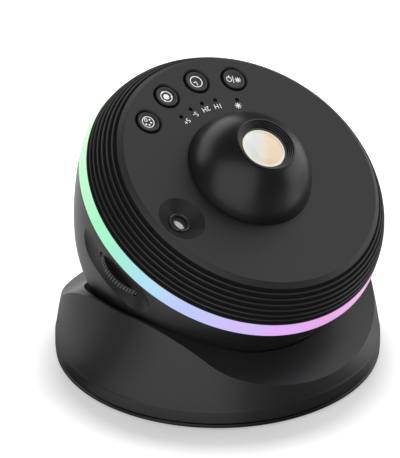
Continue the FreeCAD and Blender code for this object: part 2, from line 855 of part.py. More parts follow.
# ---------------------------------------------------------------- lower shell of the head
def bowl_outline():
    return [
        (dim.bowl_flat_radius, -dim.bowl_depth),
        (*ball_point(dim.ball_radius, dim.ball_low_angle), dim.bowl_foot_arc),
        (*ball_point(dim.ball_radius, dim.ball_high_angle), dim.ball_radius),
        (dim.bowl_top_radius, dim.ring_low, dim.bowl_flank_arc)]


def scoop_tool(label, extra):
    """Ring segment with round ends: the finger scoop, or its wall when extra is added."""
    arm = dim.scoop_ball - dim.scoop_depth
    centre_ring = dim.scoop_mid_radius + arm * cosine(dim.scoop_slope)
    centre_height = dim.scoop_height - arm * sine(dim.scoop_slope)
    torus = document.addObject("Part::Torus", label + "_ring")
    bind(torus, "Radius1", centre_ring)
    bind(torus, "Radius2", dim.scoop_ball + extra)
    bind(torus, "Angle3", dim.scoop_sweep)
    turn(torus, dim.scoop_turn + 90 - dim.scoop_sweep / 2)
    put(torus, 0, 0, centre_height)
    ends = []
    for side in (-1, 1):
        x, y = polar(centre_ring, dim.scoop_turn + dim.scoop_sweep / 2 * side)
        ends.append(ball(f"{label}_end{side + 1}", dim.scoop_ball + extra, x, y, centre_height))
    return fused(label, [torus] + ends)


def usb_bar(label, front, back, spread):
    """Flat bar with round ends that points out of the head where the USB inlet is."""
    half_height = dim.usb_height / 2 + spread
    middle = dim.usb_board_top + dim.usb_height / 2 + dim.touch_gap
    parts = []
    round_reach = (dim.usb_width - dim.usb_height) / 2
    for side in (-1, 1):
        rod = document.addObject("Part::Cylinder", f"{label}_side{side + 1}")
        bind(rod, "Radius", half_height)
        bind(rod, "Height", front - back)
        rod.Placement.Rotation = FreeCAD.Rotation(FreeCAD.Vector(1, 0, 0), 90)
        put(rod, round_reach * side, -back, middle)
        parts.append(rod)
    parts.append(block(label + "_middle", round_reach * 2, front - back,
                       middle - half_height, middle + half_height, 0,
                       -((front + back) / 2)))
    return turn(fused(label, parts), dim.usb_turn - 180)


def wheel_slot(half):
    """Slot with round ends for the thumb wheel, through the wall of the bowl at -x."""
    outer = dim.scoop_mid_radius + dim.scoop_depth
    reach = dim.slot_length / 2 - half
    parts = [block("wheel_slot_middle", outer - dim.slot_reach, reach * 2, -half, half,
                   -((outer + dim.slot_reach) / 2), 0)]
    for side in (-1, 1):
        end = document.addObject("Part::Cylinder", f"wheel_slot_end{side + 1}")
        bind(end, "Radius", half)
        bind(end, "Height", outer - dim.slot_reach)
        end.Placement.Rotation = FreeCAD.Rotation(FreeCAD.Vector(0, 1, 0), 90)
        parts.append(put(end, -outer, reach * side, 0))
    return fused("wheel_slot", parts)


def build_lower_shell():
    wall = dim.shell_wall
    inside = dim.ball_radius - wall
    shell = turned("bowl_wall", bowl_outline() + [
        (dim.lip_outer, dim.ring_low), (dim.lip_outer, dim.ring_low + dim.lip_height),
        (dim.lip_inner, dim.ring_low + dim.lip_height),
        (dim.lip_inner, dim.ring_low - dim.lip_root_drop),
        (dim.lip_root_radius, dim.ring_low - dim.lip_root_drop - dim.lip_root_fall),
        (*ball_point(inside, dim.ball_high_angle), -(dim.bowl_flank_arc - wall)),
        (*ball_point(inside, dim.ball_low_angle), -inside),
        (dim.bowl_flat_radius, bowl_floor, -dim.bowl_foot_arc),
        (0, bowl_floor), (0, -dim.bowl_depth)])
    solid = turned("bowl_solid", bowl_outline() + [(0, dim.ring_low), (0, -dim.bowl_depth)])
    backing = shared("scoop_backing", [solid, scoop_tool("scoop_wall", dim.scoop_wall)])
    slot_half = dim.wheel_half + dim.slot_gap
    pocket = cylinder("wheel_pocket", dim.wheel_radius + dim.wheel_pocket_gap, -slot_half,
                      slot_half, wheel_x, 0)
    screws, holes = screw_row("shell_screws", dim.pillar_ring, THIRDS,
                              dim.shell_screw_end, -dim.bowl_depth, True)
    sinks = []
    for index, angle in enumerate(THIRDS):
        x, y = polar(dim.pillar_ring, angle)
        sinks.append(cylinder(f"shell_sink{index}", dim.screw_head_radius + dim.thread_gap,
                              -dim.bowl_depth, dim.screw_head_height - dim.bowl_depth, x, y))
    usb_hole = usb_bar("usb_hole", dim.bowl_top_radius, dim.usb_hole_back, dim.usb_gap)
    tools = fused("lower_shell_tools", [scoop_tool("scoop", as_size(0)), wheel_slot(slot_half),
                                        pocket, holes, usb_hole] + sinks)
    head_piece("lower_shell", cut("lower_shell", fused("bowl_with_backing", [shell, backing]), tools))
    head_piece("shell_screws", screws)
    return holes


# ---------------------------------------------------------------- light ring
def build_light_ring():
    low = dim.ring_low + dim.touch_gap
    high = dim.ring_high
    ledge = dim.ring_low + dim.lip_height + dim.touch_gap
    ledge_high = ledge + dim.led_height
    head_piece("light_ring", turned("light_ring", [
        (dim.light_low_radius, low), (dim.light_high_radius, high),
        (dim.light_inner, high), (dim.light_inner, ledge_high),
        (dim.light_ledge_inner, ledge_high), (dim.light_ledge_inner, ledge),
        (dim.light_inner, ledge), (dim.light_inner, low)]))
    board_high = ledge + dim.led_board_thickness
    head_piece("led_ring_board", ring("led_ring_board", dim.led_board_inner,
                                      dim.led_board_outer, ledge, board_high))
    leds = []
    count = int(dim.ring_led_count.number)
    for index in range(count):
        x = dim.led_board_outer - dim.led_depth / 2
        led = block(f"ring_led{index}_block", dim.led_depth, dim.led_width, board_high,
                    board_high + dim.led_height, x, 0)
        leds.append(turn(group(f"ring_led{index}", [led]), as_size(360) / dim.ring_led_count * index))
    head_piece("ring_leds", group("ring_leds", leds))


# ---------------------------------------------------------------- upper shell
def band_outline():
    """The grooved shoulder: an arc from the light ring up to the face, cut by V grooves."""
    spread = dim.band_low_lean - dim.band_high_lean
    rise = dim.face_height - dim.ring_high - dim.touch_gap
    reach = dim.band_low_radius - dim.face_radius
    chord = root(rise * rise + reach * reach)
    radius = chord / 2 / sine(spread / 2)
    # centre of the arc, from its tangent at the face
    centre_across = dim.face_radius - radius * sine(dim.band_high_lean)
    centre_up = dim.face_height - radius * cosine(dim.band_high_lean)
    corners = []
    step = spread / dim.groove_count
    half = Size(math.degrees(dim.groove_width.number / 2 / radius.number),
                f"({dim.groove_width.formula} / 2 / {radius.formula} * 180 / pi)")
    for index in range(int(dim.groove_count.number)):
        middle = 90 - dim.band_low_lean + step * (index + 0.5)
        for angle, depth in ((middle - half, 0), (middle, dim.groove_depth), (middle + half, 0)):
            corners.append((centre_across + (radius - depth) * cosine(angle),
                            centre_up + (radius - depth) * sine(angle)))
    return corners


def row_angles(places):
    """Degrees round the head of places in the button row."""
    return [dim.button_turn + dim.button_step * place for place in places]


def build_upper_shell():
    low = dim.ring_high + dim.touch_gap
    shell = turned("upper_shell_blank", [(dim.band_low_radius, low)] + band_outline() + [
        (dim.face_radius, dim.face_height), (dim.well_radius, dim.face_height),
        (dim.well_radius, face_under), (dim.inner_shoulder_radius, face_under),
        (dim.inner_waist_radius, dim.inner_waist_height),
        (dim.inner_waist_radius, low)])
    adds = [shell]
    for index, angle in enumerate(COLUMN_ANGLES):
        x, y = polar(dim.column_ring, angle)
        adds.append(cylinder(f"column{index}", dim.column_radius, dim.chassis_top,
                             face_under + dim.root_sink, x, y))
    for index, angle in enumerate(row_angles(POST_PLACES)):
        x, y = polar(dim.board_post_ring, angle)
        adds.append(cylinder(f"board_post{index}", dim.board_post_radius, dim.board_top,
                             face_under + dim.root_sink, x, y))
    port_bottom = dim.face_height - dim.laser_depth
    cup = document.addObject("Part::Cone", "laser_cup")
    bind(cup, "Radius1", dim.laser_throat_radius + dim.laser_wall)
    bind(cup, "Radius2", dim.laser_mouth_radius + dim.laser_wall)
    bind(cup, "Height", dim.laser_depth)
    put(cup, dim.laser_x, dim.laser_y, port_bottom - dim.laser_wall)
    adds.append(cup)
    adds.append(cylinder("laser_sleeve", dim.laser_sleeve_radius, dim.laser_sleeve_low,
                         port_bottom - dim.laser_wall + dim.root_sink, dim.laser_x, dim.laser_y))
    cuts = []
    for index, angle in enumerate(row_angles(BUTTON_PLACES)):
        x, y = polar(dim.button_ring, angle)
        hole = dim.button_radius + dim.button_groove
        cuts.append(cylinder(f"button_hole{index}", hole, face_under - dim.overrun,
                             dim.face_height + dim.overrun, x, y))
        bevel = document.addObject("Part::Cone", f"button_bevel{index}")
        bind(bevel, "Radius1", hole)
        bind(bevel, "Radius2", hole + dim.button_bevel * 2)
        bind(bevel, "Height", dim.button_bevel * 2)
        cuts.append(put(bevel, x, y, dim.face_height - dim.button_bevel))
    for index, angle in enumerate(row_angles(PINHOLE_PLACES)):
        x, y = polar(dim.pinhole_ring, angle)
        cuts.append(cylinder(f"pinhole{index}", dim.pinhole_radius, face_under - dim.overrun,
                             dim.face_height + dim.overrun, x, y))
    mouth = document.addObject("Part::Cone", "laser_mouth")
    bind(mouth, "Radius1", dim.laser_throat_radius)
    bind(mouth, "Radius2", dim.laser_mouth_radius)
    bind(mouth, "Height", dim.laser_depth)
    put(mouth, dim.laser_x, dim.laser_y, port_bottom)
    cuts.append(mouth)
    cuts.append(cylinder("laser_bore_hole", dim.laser_bore, dim.laser_sleeve_low - dim.overrun,
                         port_bottom + dim.overrun, dim.laser_x, dim.laser_y))
    head_low = chassis_low - dim.screw_head_height
    screws, holes = screw_row("column_screws", dim.column_ring, COLUMN_ANGLES,
                              dim.column_screw_end, head_low, True)
    head_piece("upper_shell", cut("upper_shell", fused("upper_shell_solid", adds),
                                  fused("upper_shell_tools", cuts + [holes])))
    head_piece("column_screws", screws)
    return holes


# ---------------------------------------------------------------- control face
BUTTON_LABELS = ("colour_button", "star_button", "timer_button", "power_button")


def build_controls():
    for label, angle in zip(BUTTON_LABELS, row_angles(BUTTON_PLACES)):
        cap = turned(label + "_cap", [
            (0, stem_low), (dim.button_stem_radius, stem_low),
            (dim.button_stem_radius, flange_low), (dim.button_flange_radius, flange_low),
            (dim.button_flange_radius, flange_top), (dim.button_radius, flange_top),
            (dim.button_radius, dim.face_height - dim.button_dish),
            (dim.button_dish_radius, dim.face_height),
            (0, dim.face_height - dim.button_dish)])
        put(cap, *polar(dim.button_ring, angle), 0)
        head_piece(label, group(label, [cap]))
    board = turned("button_board_sector", [
        (dim.board_inner, board_low), (dim.board_outer, board_low),
        (dim.board_outer, dim.board_top), (dim.board_inner, dim.board_top)], dim.board_sweep)
    turn(board, dim.button_turn + 90)
    head_piece("button_board", group("button_board", [board]))
    switches = []
    for index, angle in enumerate(row_angles(BUTTON_PLACES)):
        switch = block(f"switch{index}_block", dim.switch_size, dim.switch_size, dim.board_top,
                       stem_low - dim.switch_gap, 0, dim.button_ring)
        switches.append(turn(group(f"switch{index}", [switch]), angle))
    head_piece("tact_switches", group("tact_switches", switches))
    pipes = []
    for index, angle in enumerate(row_angles(PINHOLE_PLACES)):
        x, y = polar(dim.pinhole_ring, angle)
        pipes.append(cylinder(f"light_pipe{index}", dim.pinhole_radius - dim.touch_gap,
                              dim.board_top, dim.face_height, x, y))
    head_piece("indicator_pipes", group("indicator_pipes", pipes))


def build_laser():
    port_bottom = dim.face_height - dim.laser_depth
    window_high = port_bottom - dim.touch_gap
    window_low = window_high - dim.laser_window_thickness
    x, y = dim.laser_x, dim.laser_y
    bezel_outer = cylinder("bezel_outer", dim.laser_throat_radius - dim.touch_gap, port_bottom,
                           port_bottom + dim.bezel_height, x, y)
    bezel_hole = cylinder("bezel_hole", dim.bezel_inner, port_bottom - dim.overrun,
                          port_bottom + dim.bezel_height + dim.overrun, x, y)
    head_piece("laser_bezel", cut("laser_bezel", bezel_outer, bezel_hole))
    fit = dim.laser_bore - dim.touch_gap
    head_piece("laser_window", group("laser_window", [
        cylinder("laser_window_disc", fit, window_low, window_high, x, y)]))
    head_piece("laser_module", group("laser_module", [
        cylinder("laser_can", fit, dim.laser_low, window_low - dim.touch_gap, x, y)]))


# ---------------------------------------------------------------- chassis, lamp and boards
def build_chassis(column_holes, shell_holes):
    plate = ring("chassis_plate", dim.tube_outer + dim.touch_gap, dim.chassis_radius,
                 chassis_low, dim.chassis_top)
    adds = [plate]
    for index, angle in enumerate(THIRDS):
        x, y = polar(dim.pillar_ring, angle)
        adds.append(cylinder(f"pillar{index}", dim.pillar_radius, bowl_floor,
                             chassis_low + dim.root_sink, x, y))
        x, y = polar(dim.board_stand_ring, angle)
        adds.append(cylinder(f"board_stand{index}", dim.board_stand_radius, main_board_top,
                             chassis_low + dim.root_sink, x, y))
    usb_low = dim.usb_board_top - dim.usb_board_thickness
    for index, side in enumerate((-1, 1)):
        x, y = polar(dim.column_ring, dim.usb_turn + dim.usb_post_turn * side)
        adds.append(cylinder(f"usb_post{index}", dim.usb_post_radius,
                             dim.chassis_top - dim.root_sink, usb_low, x, y))
    axle_low = chassis_low
    axle_high = focus_gear_high + dim.axle_radius
    adds.append(cylinder("wheel_boss", dim.wheel_boss_radius, dim.chassis_top - dim.root_sink,
                         -(dim.wheel_half + dim.running_gap), wheel_x, 0))
    cuts = [column_holes, shell_holes]
    cuts.append(cylinder("axle_seat", dim.axle_radius, axle_low, axle_high, wheel_x, 0))
    for index, angle in enumerate(ROD_ANGLES):
        x, y = polar(dim.rod_ring, angle)
        cuts.append(cylinder(f"rod_seat{index}", dim.rod_radius, chassis_low, dim.rod_top, x, y))
    head_piece("chassis", cut("chassis", fused("chassis_solid", adds), fused("chassis_tools", cuts)))
    head_piece("wheel_axle", group("wheel_axle", [
        cylinder("axle_pin", dim.axle_radius, axle_low, axle_high, wheel_x, 0)]))
    rods = []
    for index, angle in enumerate(ROD_ANGLES):
        x, y = polar(dim.rod_ring, angle)
        rods.append(cylinder(f"guide_rod{index}", dim.rod_radius, chassis_low, dim.rod_top, x, y))
    head_piece("guide_rods", group("guide_rods", rods))

    tube_flange_top = dim.chassis_top + dim.tube_flange_thickness
    head_piece("guide_tube", turned("guide_tube", [
        (dim.tube_inner, dim.tube_low), (dim.tube_outer, dim.tube_low),
        (dim.tube_outer, dim.chassis_top), (dim.tube_flange_radius, dim.chassis_top),
        (dim.tube_flange_radius, tube_flange_top), (dim.tube_outer, tube_flange_top),
        (dim.tube_outer, dim.tube_collar_low), (dim.tube_flange_radius, dim.tube_collar_low),
        (dim.tube_flange_radius, dim.tube_collar_top), (dim.tube_outer, dim.tube_collar_top),
        (dim.tube_outer, dim.tube_high), (dim.tube_inner, dim.tube_high),
        (dim.tube_inner, dim.lens_seat_high), (dim.lens_seat_radius, dim.lens_seat_high),
        (dim.lens_seat_radius, dim.lens_seat_low), (dim.tube_inner, dim.lens_seat_low)]))
    condenser_radius = dim.tube_inner - dim.touch_gap
    edge_top = dim.lens_seat_high + dim.condenser_edge
    cap = lens_arc(condenser_radius, dim.condenser_bulge)
    head_piece("condenser_lens", turned("condenser_lens", [
        (0, dim.lens_seat_high), (condenser_radius, dim.lens_seat_high),
        (condenser_radius, edge_top), (0, edge_top + dim.condenser_bulge, cap)]))
    lamp_high = dim.tube_low - dim.touch_gap
    lamp_low = lamp_high - dim.lamp_board_thickness
    head_piece("lamp_board", turned("lamp_board", [
        (0, lamp_low), (dim.sink_radius, lamp_low), (dim.sink_radius, lamp_high),
        (dim.emitter_radius, lamp_high), (dim.emitter_radius, lamp_high + dim.emitter_height),
        (0, lamp_high + dim.emitter_height)]))
    build_heat_sink(lamp_low)
    build_boards()


def build_heat_sink(top):
    """Round core with a stack of disc fins."""
    count = int(dim.sink_fins.number)
    pitch = (top - dim.sink_low - dim.sink_fin_thickness) / (dim.sink_fins - 1)
    corners = [(0, dim.sink_low)]
    for index in range(count):
        low = dim.sink_low + pitch * index
        high = low + dim.sink_fin_thickness
        if index:
            corners.append((dim.sink_core, low))
        corners.append((dim.sink_radius, low))
        corners.append((dim.sink_radius, high))
        if index < count - 1:
            corners.append((dim.sink_core, high))
    corners.append((0, corners[-1][1]))
    head_piece("heat_sink", turned("heat_sink", corners))


def build_boards():
    low = main_board_top - dim.main_board_thickness
    head_piece("main_board", ring("main_board", dim.main_board_inner, dim.main_board_outer,
                                  low, main_board_top))
    chips = []
    for index, angle in enumerate(CHIP_ANGLES):
        chip = block(f"chip{index}_block", dim.chip_size, dim.chip_size,
                     low - dim.chip_height, low, 0, dim.chip_ring)
        chips.append(turn(group(f"chip{index}", [chip]), angle))
    head_piece("board_parts", group("board_parts", chips))
    usb_low = dim.usb_board_top - dim.usb_board_thickness
    usb_back = dim.usb_front - dim.usb_board_length - dim.usb_length / 2
    middle = usb_back + dim.usb_board_length / 2
    board = block("usb_board_plate", dim.usb_board_width, dim.usb_board_length, usb_low,
                  dim.usb_board_top, 0, -middle)
    board = turn(group("usb_board_turned", [board]), dim.usb_turn - 180)
    head_piece("usb_board", group("usb_board", [board]))
    back = dim.usb_front - dim.usb_length
    outer = usb_bar("usb_can", dim.usb_front, back, as_size(0))
    hollow = usb_bar("usb_mouth", dim.usb_front + dim.overrun, back + dim.usb_back_wall,
                     -dim.usb_wall)
    can = cut("usb_shell", outer, hollow)
    tongue_middle = dim.usb_board_top + dim.usb_height / 2 + dim.touch_gap
    tongue = block("usb_tongue_bar", dim.usb_width - dim.usb_height, dim.usb_length - dim.usb_wall,
                   tongue_middle - dim.usb_wall, tongue_middle + dim.usb_wall, 0,
                   -(back + (dim.usb_length - dim.usb_wall) / 2))
    tongue = turn(group("usb_tongue", [tongue]), dim.usb_turn - 180)
    head_piece("usb_socket", group("usb_socket", [fused("usb_socket_solid", [can, tongue])]))


def lens_arc(radius, bulge):
    """Radius of the spherical cap that rises by the bulge over a lens of that radius."""
    return (radius * radius + bulge * bulge) / (bulge * 2)


# ---------------------------------------------------------------- focus gears and film stage
def build_focus():
    half = dim.wheel_half
    bore = dim.axle_radius + dim.thread_gap
    root_radius = wheel_gear_radius - dim.focus_module * TOOTH_ROOT
    rim = dim.wheel_radius - dim.rib_height
    wheel = turned("thumb_wheel", [
        (bore, -half), (rim, -half), (rim, half), (root_radius, half),
        (root_radius, focus_gear_high), (bore, focus_gear_high)])
    rib = dim.rib_width / 2
    add_teeth(wheel, [(rim - dim.rib_height, -rib), (rim, -rib), (dim.wheel_radius, 0), (rim, rib),
                      (rim - dim.rib_height, rib)], -half, half, dim.rib_count)
    gear = turned("thumb_gear", [
        (bore, half), (root_radius, half), (root_radius, focus_gear_high),
        (bore, focus_gear_high)])
    gear_teeth(gear, dim.focus_module, wheel_gear_radius, half, focus_gear_high,
               dim.wheel_teeth)
    whole = fused("focus_wheel_solid", [wheel, gear])
    put(whole, wheel_x, 0, 0)
    head_piece("focus_wheel", group("focus_wheel", [whole]))

    ring_root = ring_gear_radius - dim.focus_module * TOOTH_ROOT
    rim_inner = ring_root - dim.focus_rim_width
    web_low = dim.focus_gear_low + dim.focus_web_inset
    web_high = focus_gear_high - dim.focus_web_inset
    gear_ring = turned("focus_ring", [
        (nut_bore, dim.focus_gear_low), (dim.nut_outer, dim.focus_gear_low),
        (dim.nut_outer, web_low), (rim_inner, web_low), (rim_inner, dim.focus_gear_low),
        (ring_root, dim.focus_gear_low), (ring_root, focus_gear_high),
        (rim_inner, focus_gear_high), (rim_inner, web_high), (dim.nut_outer, web_high),
        (dim.nut_outer, dim.nut_top), (nut_bore, dim.nut_top)])
    gear_teeth(gear_ring, dim.focus_module, ring_gear_radius, dim.focus_gear_low,
               focus_gear_high, dim.ring_teeth)
    head_piece("focus_ring", gear_ring)


def build_film_stage():
    stage_high = dim.stage_low + dim.stage_thickness
    sleeve = turned("stage_sleeve", [
        (sleeve_bore, dim.sleeve_low), (dim.sleeve_outer, dim.sleeve_low),
        (dim.sleeve_outer, dim.stage_low), (dim.stage_radius, dim.stage_low),
        (dim.stage_radius, stage_high), (dim.sleeve_outer, stage_high),
        (dim.sleeve_outer, dim.sleeve_high), (sleeve_bore, dim.sleeve_high)])
    adds = [sleeve]
    hole_low = dim.stage_low - dim.overrun
    hole_high = stage_high + dim.overrun
    cuts = [cylinder("shaft_hole", dim.shaft_radius + dim.running_gap, hole_low, hole_high,
                     pinion_x, 0)]
    arm_root = dim.stage_radius - dim.arm_overlap
    for index, side in enumerate((1, -1)):
        middle = (dim.arm_reach + arm_root) / 2 * side
        adds.append(block(f"stage_arm{index}", dim.arm_width, dim.arm_reach - arm_root,
                          dim.stage_low, stage_high, 0, middle))
        cuts.append(cylinder(f"stage_rod_hole{index}", dim.rod_radius + dim.running_gap,
                             hole_low, hole_high, 0, dim.rod_ring * side))
    head_piece("film_stage", cut("film_stage", fused("stage_solid", adds), fused("stage_tools", cuts)))
    bore = dim.shaft_radius + dim.thread_gap
    motor = turned("motor_can", [
        (0, dim.motor_low), (dim.motor_radius, dim.motor_low), (dim.motor_radius, dim.stage_low),
        (bore, dim.stage_low), (bore, dim.motor_low + dim.motor_pit),
        (0, dim.motor_low + dim.motor_pit)])
    head_piece("disc_motor", group("disc_motor", [put(motor, pinion_x, 0, 0)]))

    carrier_bore = dim.sleeve_outer + dim.touch_gap
    root_radius = carrier_gear_radius - dim.film_module * TOOTH_ROOT
    film_seat = dim.film_radius + dim.touch_gap
    web_low = dim.sleeve_high + dim.carrier_web_gap
    carrier = turned("disc_carrier", [
        (carrier_bore, dim.carrier_low), (root_radius, dim.carrier_low),
        (root_radius, dim.carrier_gear_top), (dim.carrier_rim_outer, dim.carrier_gear_top),
        (dim.carrier_rim_outer, dim.carrier_rim_top), (film_seat, dim.carrier_rim_top),
        (film_seat, dim.film_low), (dim.film_window, dim.film_low),
        (dim.film_window, web_low), (carrier_bore, web_low)])
    gear_low = dim.carrier_low + dim.film_gear_inset
    gear_teeth(carrier, dim.film_module, carrier_gear_radius, gear_low, dim.carrier_gear_top,
               dim.carrier_teeth, phase=as_size(180) / dim.carrier_teeth)
    head_piece("disc_carrier", carrier)
    head_piece("film_disc", turned("film_disc", [
        (0, dim.film_low), (dim.film_radius, dim.film_low),
        (dim.film_radius, dim.film_low + dim.film_thickness),
        (0, dim.film_low + dim.film_thickness)]))

    pinion_root = pinion_gear_radius - dim.film_module * TOOTH_ROOT
    shaft_low = dim.motor_low + dim.motor_pit + dim.running_gap
    pinion = turned("pinion_shaft", [
        (0, shaft_low), (dim.shaft_radius, shaft_low), (dim.shaft_radius, gear_low),
        (pinion_root, gear_low), (pinion_root, dim.carrier_gear_top), (0, dim.carrier_gear_top)])
    gear_teeth(pinion, dim.film_module, pinion_gear_radius, gear_low, dim.carrier_gear_top,
               dim.pinion_teeth)
    head_piece("drive_pinion", group("drive_pinion", [put(pinion, pinion_x, 0, 0)]))


# ---------------------------------------------------------------- dome and lens
def build_dome():
    inner_ball = dim.dome_radius - dim.dome_wall
    opening = dim.hood_radius + dim.touch_gap
    rise = dome_foot - sphere_height
    foot_radius = root(dim.dome_radius * dim.dome_radius - rise * rise)
    lip_high = dome_foot + dim.dome_lip
    inner_rise = lip_high - sphere_height
    inner_foot = root(inner_ball * inner_ball - inner_rise * inner_rise)
    top_out = sphere_height + root(dim.dome_radius * dim.dome_radius - opening * opening)
    top_in = sphere_height + root(inner_ball * inner_ball - opening * opening)
    skirt_outer = dim.well_radius - dim.skirt_gap
    skirt_inner = skirt_outer - dim.skirt_wall
    head_piece("dome_cover", turned("dome_cover", [
        (foot_radius, dome_foot), (opening, top_out, dim.dome_radius), (opening, top_in),
        (inner_foot, lip_high, -inner_ball), (skirt_inner, lip_high),
        (skirt_inner, dim.skirt_low), (skirt_outer, dim.skirt_low), (skirt_outer, dome_foot)]))

    step_out = (dim.hood_radius - dim.hood_lip - dim.hood_throat) / dim.hood_steps
    count = int(dim.hood_steps.number)
    flange_under = dim.hood_flange_top - dim.hood_flange_thickness
    corners = [(dim.hood_radius, dim.hood_low), (dim.hood_radius, flange_under),
               (dim.hood_flange_radius, flange_under),
               (dim.hood_flange_radius, dim.hood_flange_top),
               (dim.hood_radius, dim.hood_flange_top), (dim.hood_radius, dim.hood_top)]
    for index in range(count + 1):
        radius = dim.hood_radius - dim.hood_lip - step_out * index
        corners.append((radius, dim.hood_top - dim.hood_step_depth * index))
        if index < count:
            corners.append((radius, dim.hood_top - dim.hood_step_depth * (index + 1)))
    barrel_seat = dim.barrel_top + dim.touch_gap
    corners.append((dim.hood_throat, barrel_seat))
    corners.append((dim.barrel_radius + dim.touch_gap, barrel_seat))
    corners.append((dim.barrel_radius + dim.touch_gap, dim.hood_low))
    head_piece("lens_hood", turned("lens_hood", corners))

    lens_seat = dim.lens_radius + dim.touch_gap
    head_piece("lens_barrel", turned("lens_barrel", [
        (lens_seat, dim.barrel_low), (dim.barrel_radius, dim.barrel_low),
        (dim.barrel_radius, dim.barrel_top), (lens_seat, dim.barrel_top),
        (lens_seat, dim.front_lens_low - dim.touch_gap),
        (dim.barrel_bore, dim.front_lens_low - dim.touch_gap),
        (dim.barrel_bore, dim.rear_lens_seat), (lens_seat, dim.rear_lens_seat)]))
    front_edge = dim.front_lens_low + dim.front_lens_edge
    head_piece("front_lens", turned("front_lens", [
        (0, dim.front_lens_low), (dim.lens_radius, dim.front_lens_low),
        (dim.lens_radius, front_edge),
        (0, front_edge + dim.front_lens_bulge, lens_arc(dim.lens_radius, dim.front_lens_bulge))]))
    rear_high = dim.rear_lens_seat - dim.touch_gap
    rear_edge = rear_high - dim.rear_lens_edge
    head_piece("rear_lens", turned("rear_lens", [
        (0, rear_edge - dim.rear_lens_bulge),
        (dim.lens_radius, rear_edge, lens_arc(dim.lens_radius, dim.rear_lens_bulge)),
        (dim.lens_radius, rear_high), (0, rear_high)]))


build_foot()
build_base()
shell_holes = build_lower_shell()
build_light_ring()
column_holes = build_upper_shell()
build_controls()
build_laser()
build_chassis(column_holes, shell_holes)
build_focus()
build_film_stage()
build_dome()
document.recompute()

# ---------------------------------------------------------------- checks and export
failed = [item.Label for item in document.Objects
          if "Invalid" in item.State or "Error" in item.State]
if failed:
    raise RuntimeError(f"failed features: {failed}")
for solid in PIECES:
    if solid.Shape.isNull() or not solid.Shape.isValid() or not solid.Shape.Solids:
        raise RuntimeError(f"bad shape: {solid.Label}")
os.makedirs("parts", exist_ok=True)
for solid in PIECES:
    solid.Shape.exportStep(f"parts/{solid.Label}.step")
    print(solid.Label, len(solid.Shape.Solids), round(solid.Shape.Volume, 1))
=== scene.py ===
# %% [markdown]
# # A small planetarium projector
# A round head leans in a saddle-shaped base. Everything that moves is already in the frame:
# this lesson gives the moulded shells their smooth skins, the light ring its glow and the
# lens its light. The frame is loaded first, so that every piece can be placed against it.

# %% Load the frame
import bpy
import json
import math
from mathutils import Matrix, Vector


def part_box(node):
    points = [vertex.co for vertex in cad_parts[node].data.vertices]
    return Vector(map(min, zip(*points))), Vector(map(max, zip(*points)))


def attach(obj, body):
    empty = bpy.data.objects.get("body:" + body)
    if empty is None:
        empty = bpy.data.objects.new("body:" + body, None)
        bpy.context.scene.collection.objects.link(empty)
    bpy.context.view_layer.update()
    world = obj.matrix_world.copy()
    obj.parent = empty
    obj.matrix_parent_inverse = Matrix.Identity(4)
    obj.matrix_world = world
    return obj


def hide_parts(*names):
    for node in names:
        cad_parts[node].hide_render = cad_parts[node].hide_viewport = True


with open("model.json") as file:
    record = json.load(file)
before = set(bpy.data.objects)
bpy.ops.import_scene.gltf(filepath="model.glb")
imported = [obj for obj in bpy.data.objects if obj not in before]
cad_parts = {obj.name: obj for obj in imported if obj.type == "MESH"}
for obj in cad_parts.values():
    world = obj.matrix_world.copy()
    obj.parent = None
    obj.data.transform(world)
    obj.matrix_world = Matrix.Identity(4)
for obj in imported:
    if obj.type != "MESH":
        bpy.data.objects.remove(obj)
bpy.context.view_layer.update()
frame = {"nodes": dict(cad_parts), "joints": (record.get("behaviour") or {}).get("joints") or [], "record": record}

nodes = frame["nodes"]
joints = {joint["name"]: joint for joint in frame["joints"]}

# %% [markdown]
# All sizes below are in millimetres, because small parts are easier to read that way, and a
# single factor turns them into Blender's metres. The lean and the centre of the socket are
# read from the tilt and dome joints, so the skins always stand where the mechanism stands.

# %% Units and the head's place
MM = 0.001
PIVOT = Vector(joints["head_tilt"]["pos_m"])
HEAD_AXIS = Vector(joints["dome_lift"]["axis"]).normalized()
LEAN = math.atan2(-HEAD_AXIS.y, HEAD_AXIS.z)
HEAD_PLACE = Matrix.Translation(PIVOT) @ Matrix.Rotation(LEAN, 4, "X")
RING_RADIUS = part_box("light_ring")[1].x / MM
BASE_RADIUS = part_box("base_shell")[1].x / MM
print("lean", round(math.degrees(LEAN), 2), "ring", round(RING_RADIUS, 2))

# %% [markdown]
# The camera is a long-lens view from the front left, a little above. An orthographic camera
# keeps the proportions of the real object, and its scale is set by how many millimetres of
# the object one picture point covers.

# %% Camera
PICTURE = (400, 458)
POINT_MM = 0.400
ORIGIN_POINT = (217.7, 347.3)
CAMERA_TURN, CAMERA_RISE = -46.2, 30.5
CAMERA_FAR = 1.2
CLIP_END = 10


def seen_from(turn, rise):
    """Direction from the object to a viewer or a lamp; azimuth and elevation in degrees."""
    turn, rise = math.radians(turn), math.radians(rise)
    return Vector((math.sin(turn) * math.cos(rise), -math.cos(turn) * math.cos(rise),
                   math.sin(rise)))


def add_camera():
    back = seen_from(CAMERA_TURN, CAMERA_RISE)
    turn = (-back).to_track_quat("-Z", "Y")
    right = turn @ Vector((1, 0, 0))
    up = turn @ Vector((0, 1, 0))
    across = (PICTURE[0] / 2 - ORIGIN_POINT[0]) * POINT_MM * MM
    above = (ORIGIN_POINT[1] - PICTURE[1] / 2) * POINT_MM * MM
    data = bpy.data.cameras.new("camera")
    data.type = "ORTHO"
    data.ortho_scale = max(PICTURE) * POINT_MM * MM
    data.clip_end = CLIP_END
    camera = bpy.data.objects.new("camera", data)
    bpy.context.scene.collection.objects.link(camera)
    camera.rotation_mode = "QUATERNION"
    camera.rotation_quaternion = turn
    camera.location = right * across + up * above + back * CAMERA_FAR
    bpy.context.scene.camera = camera
    return camera


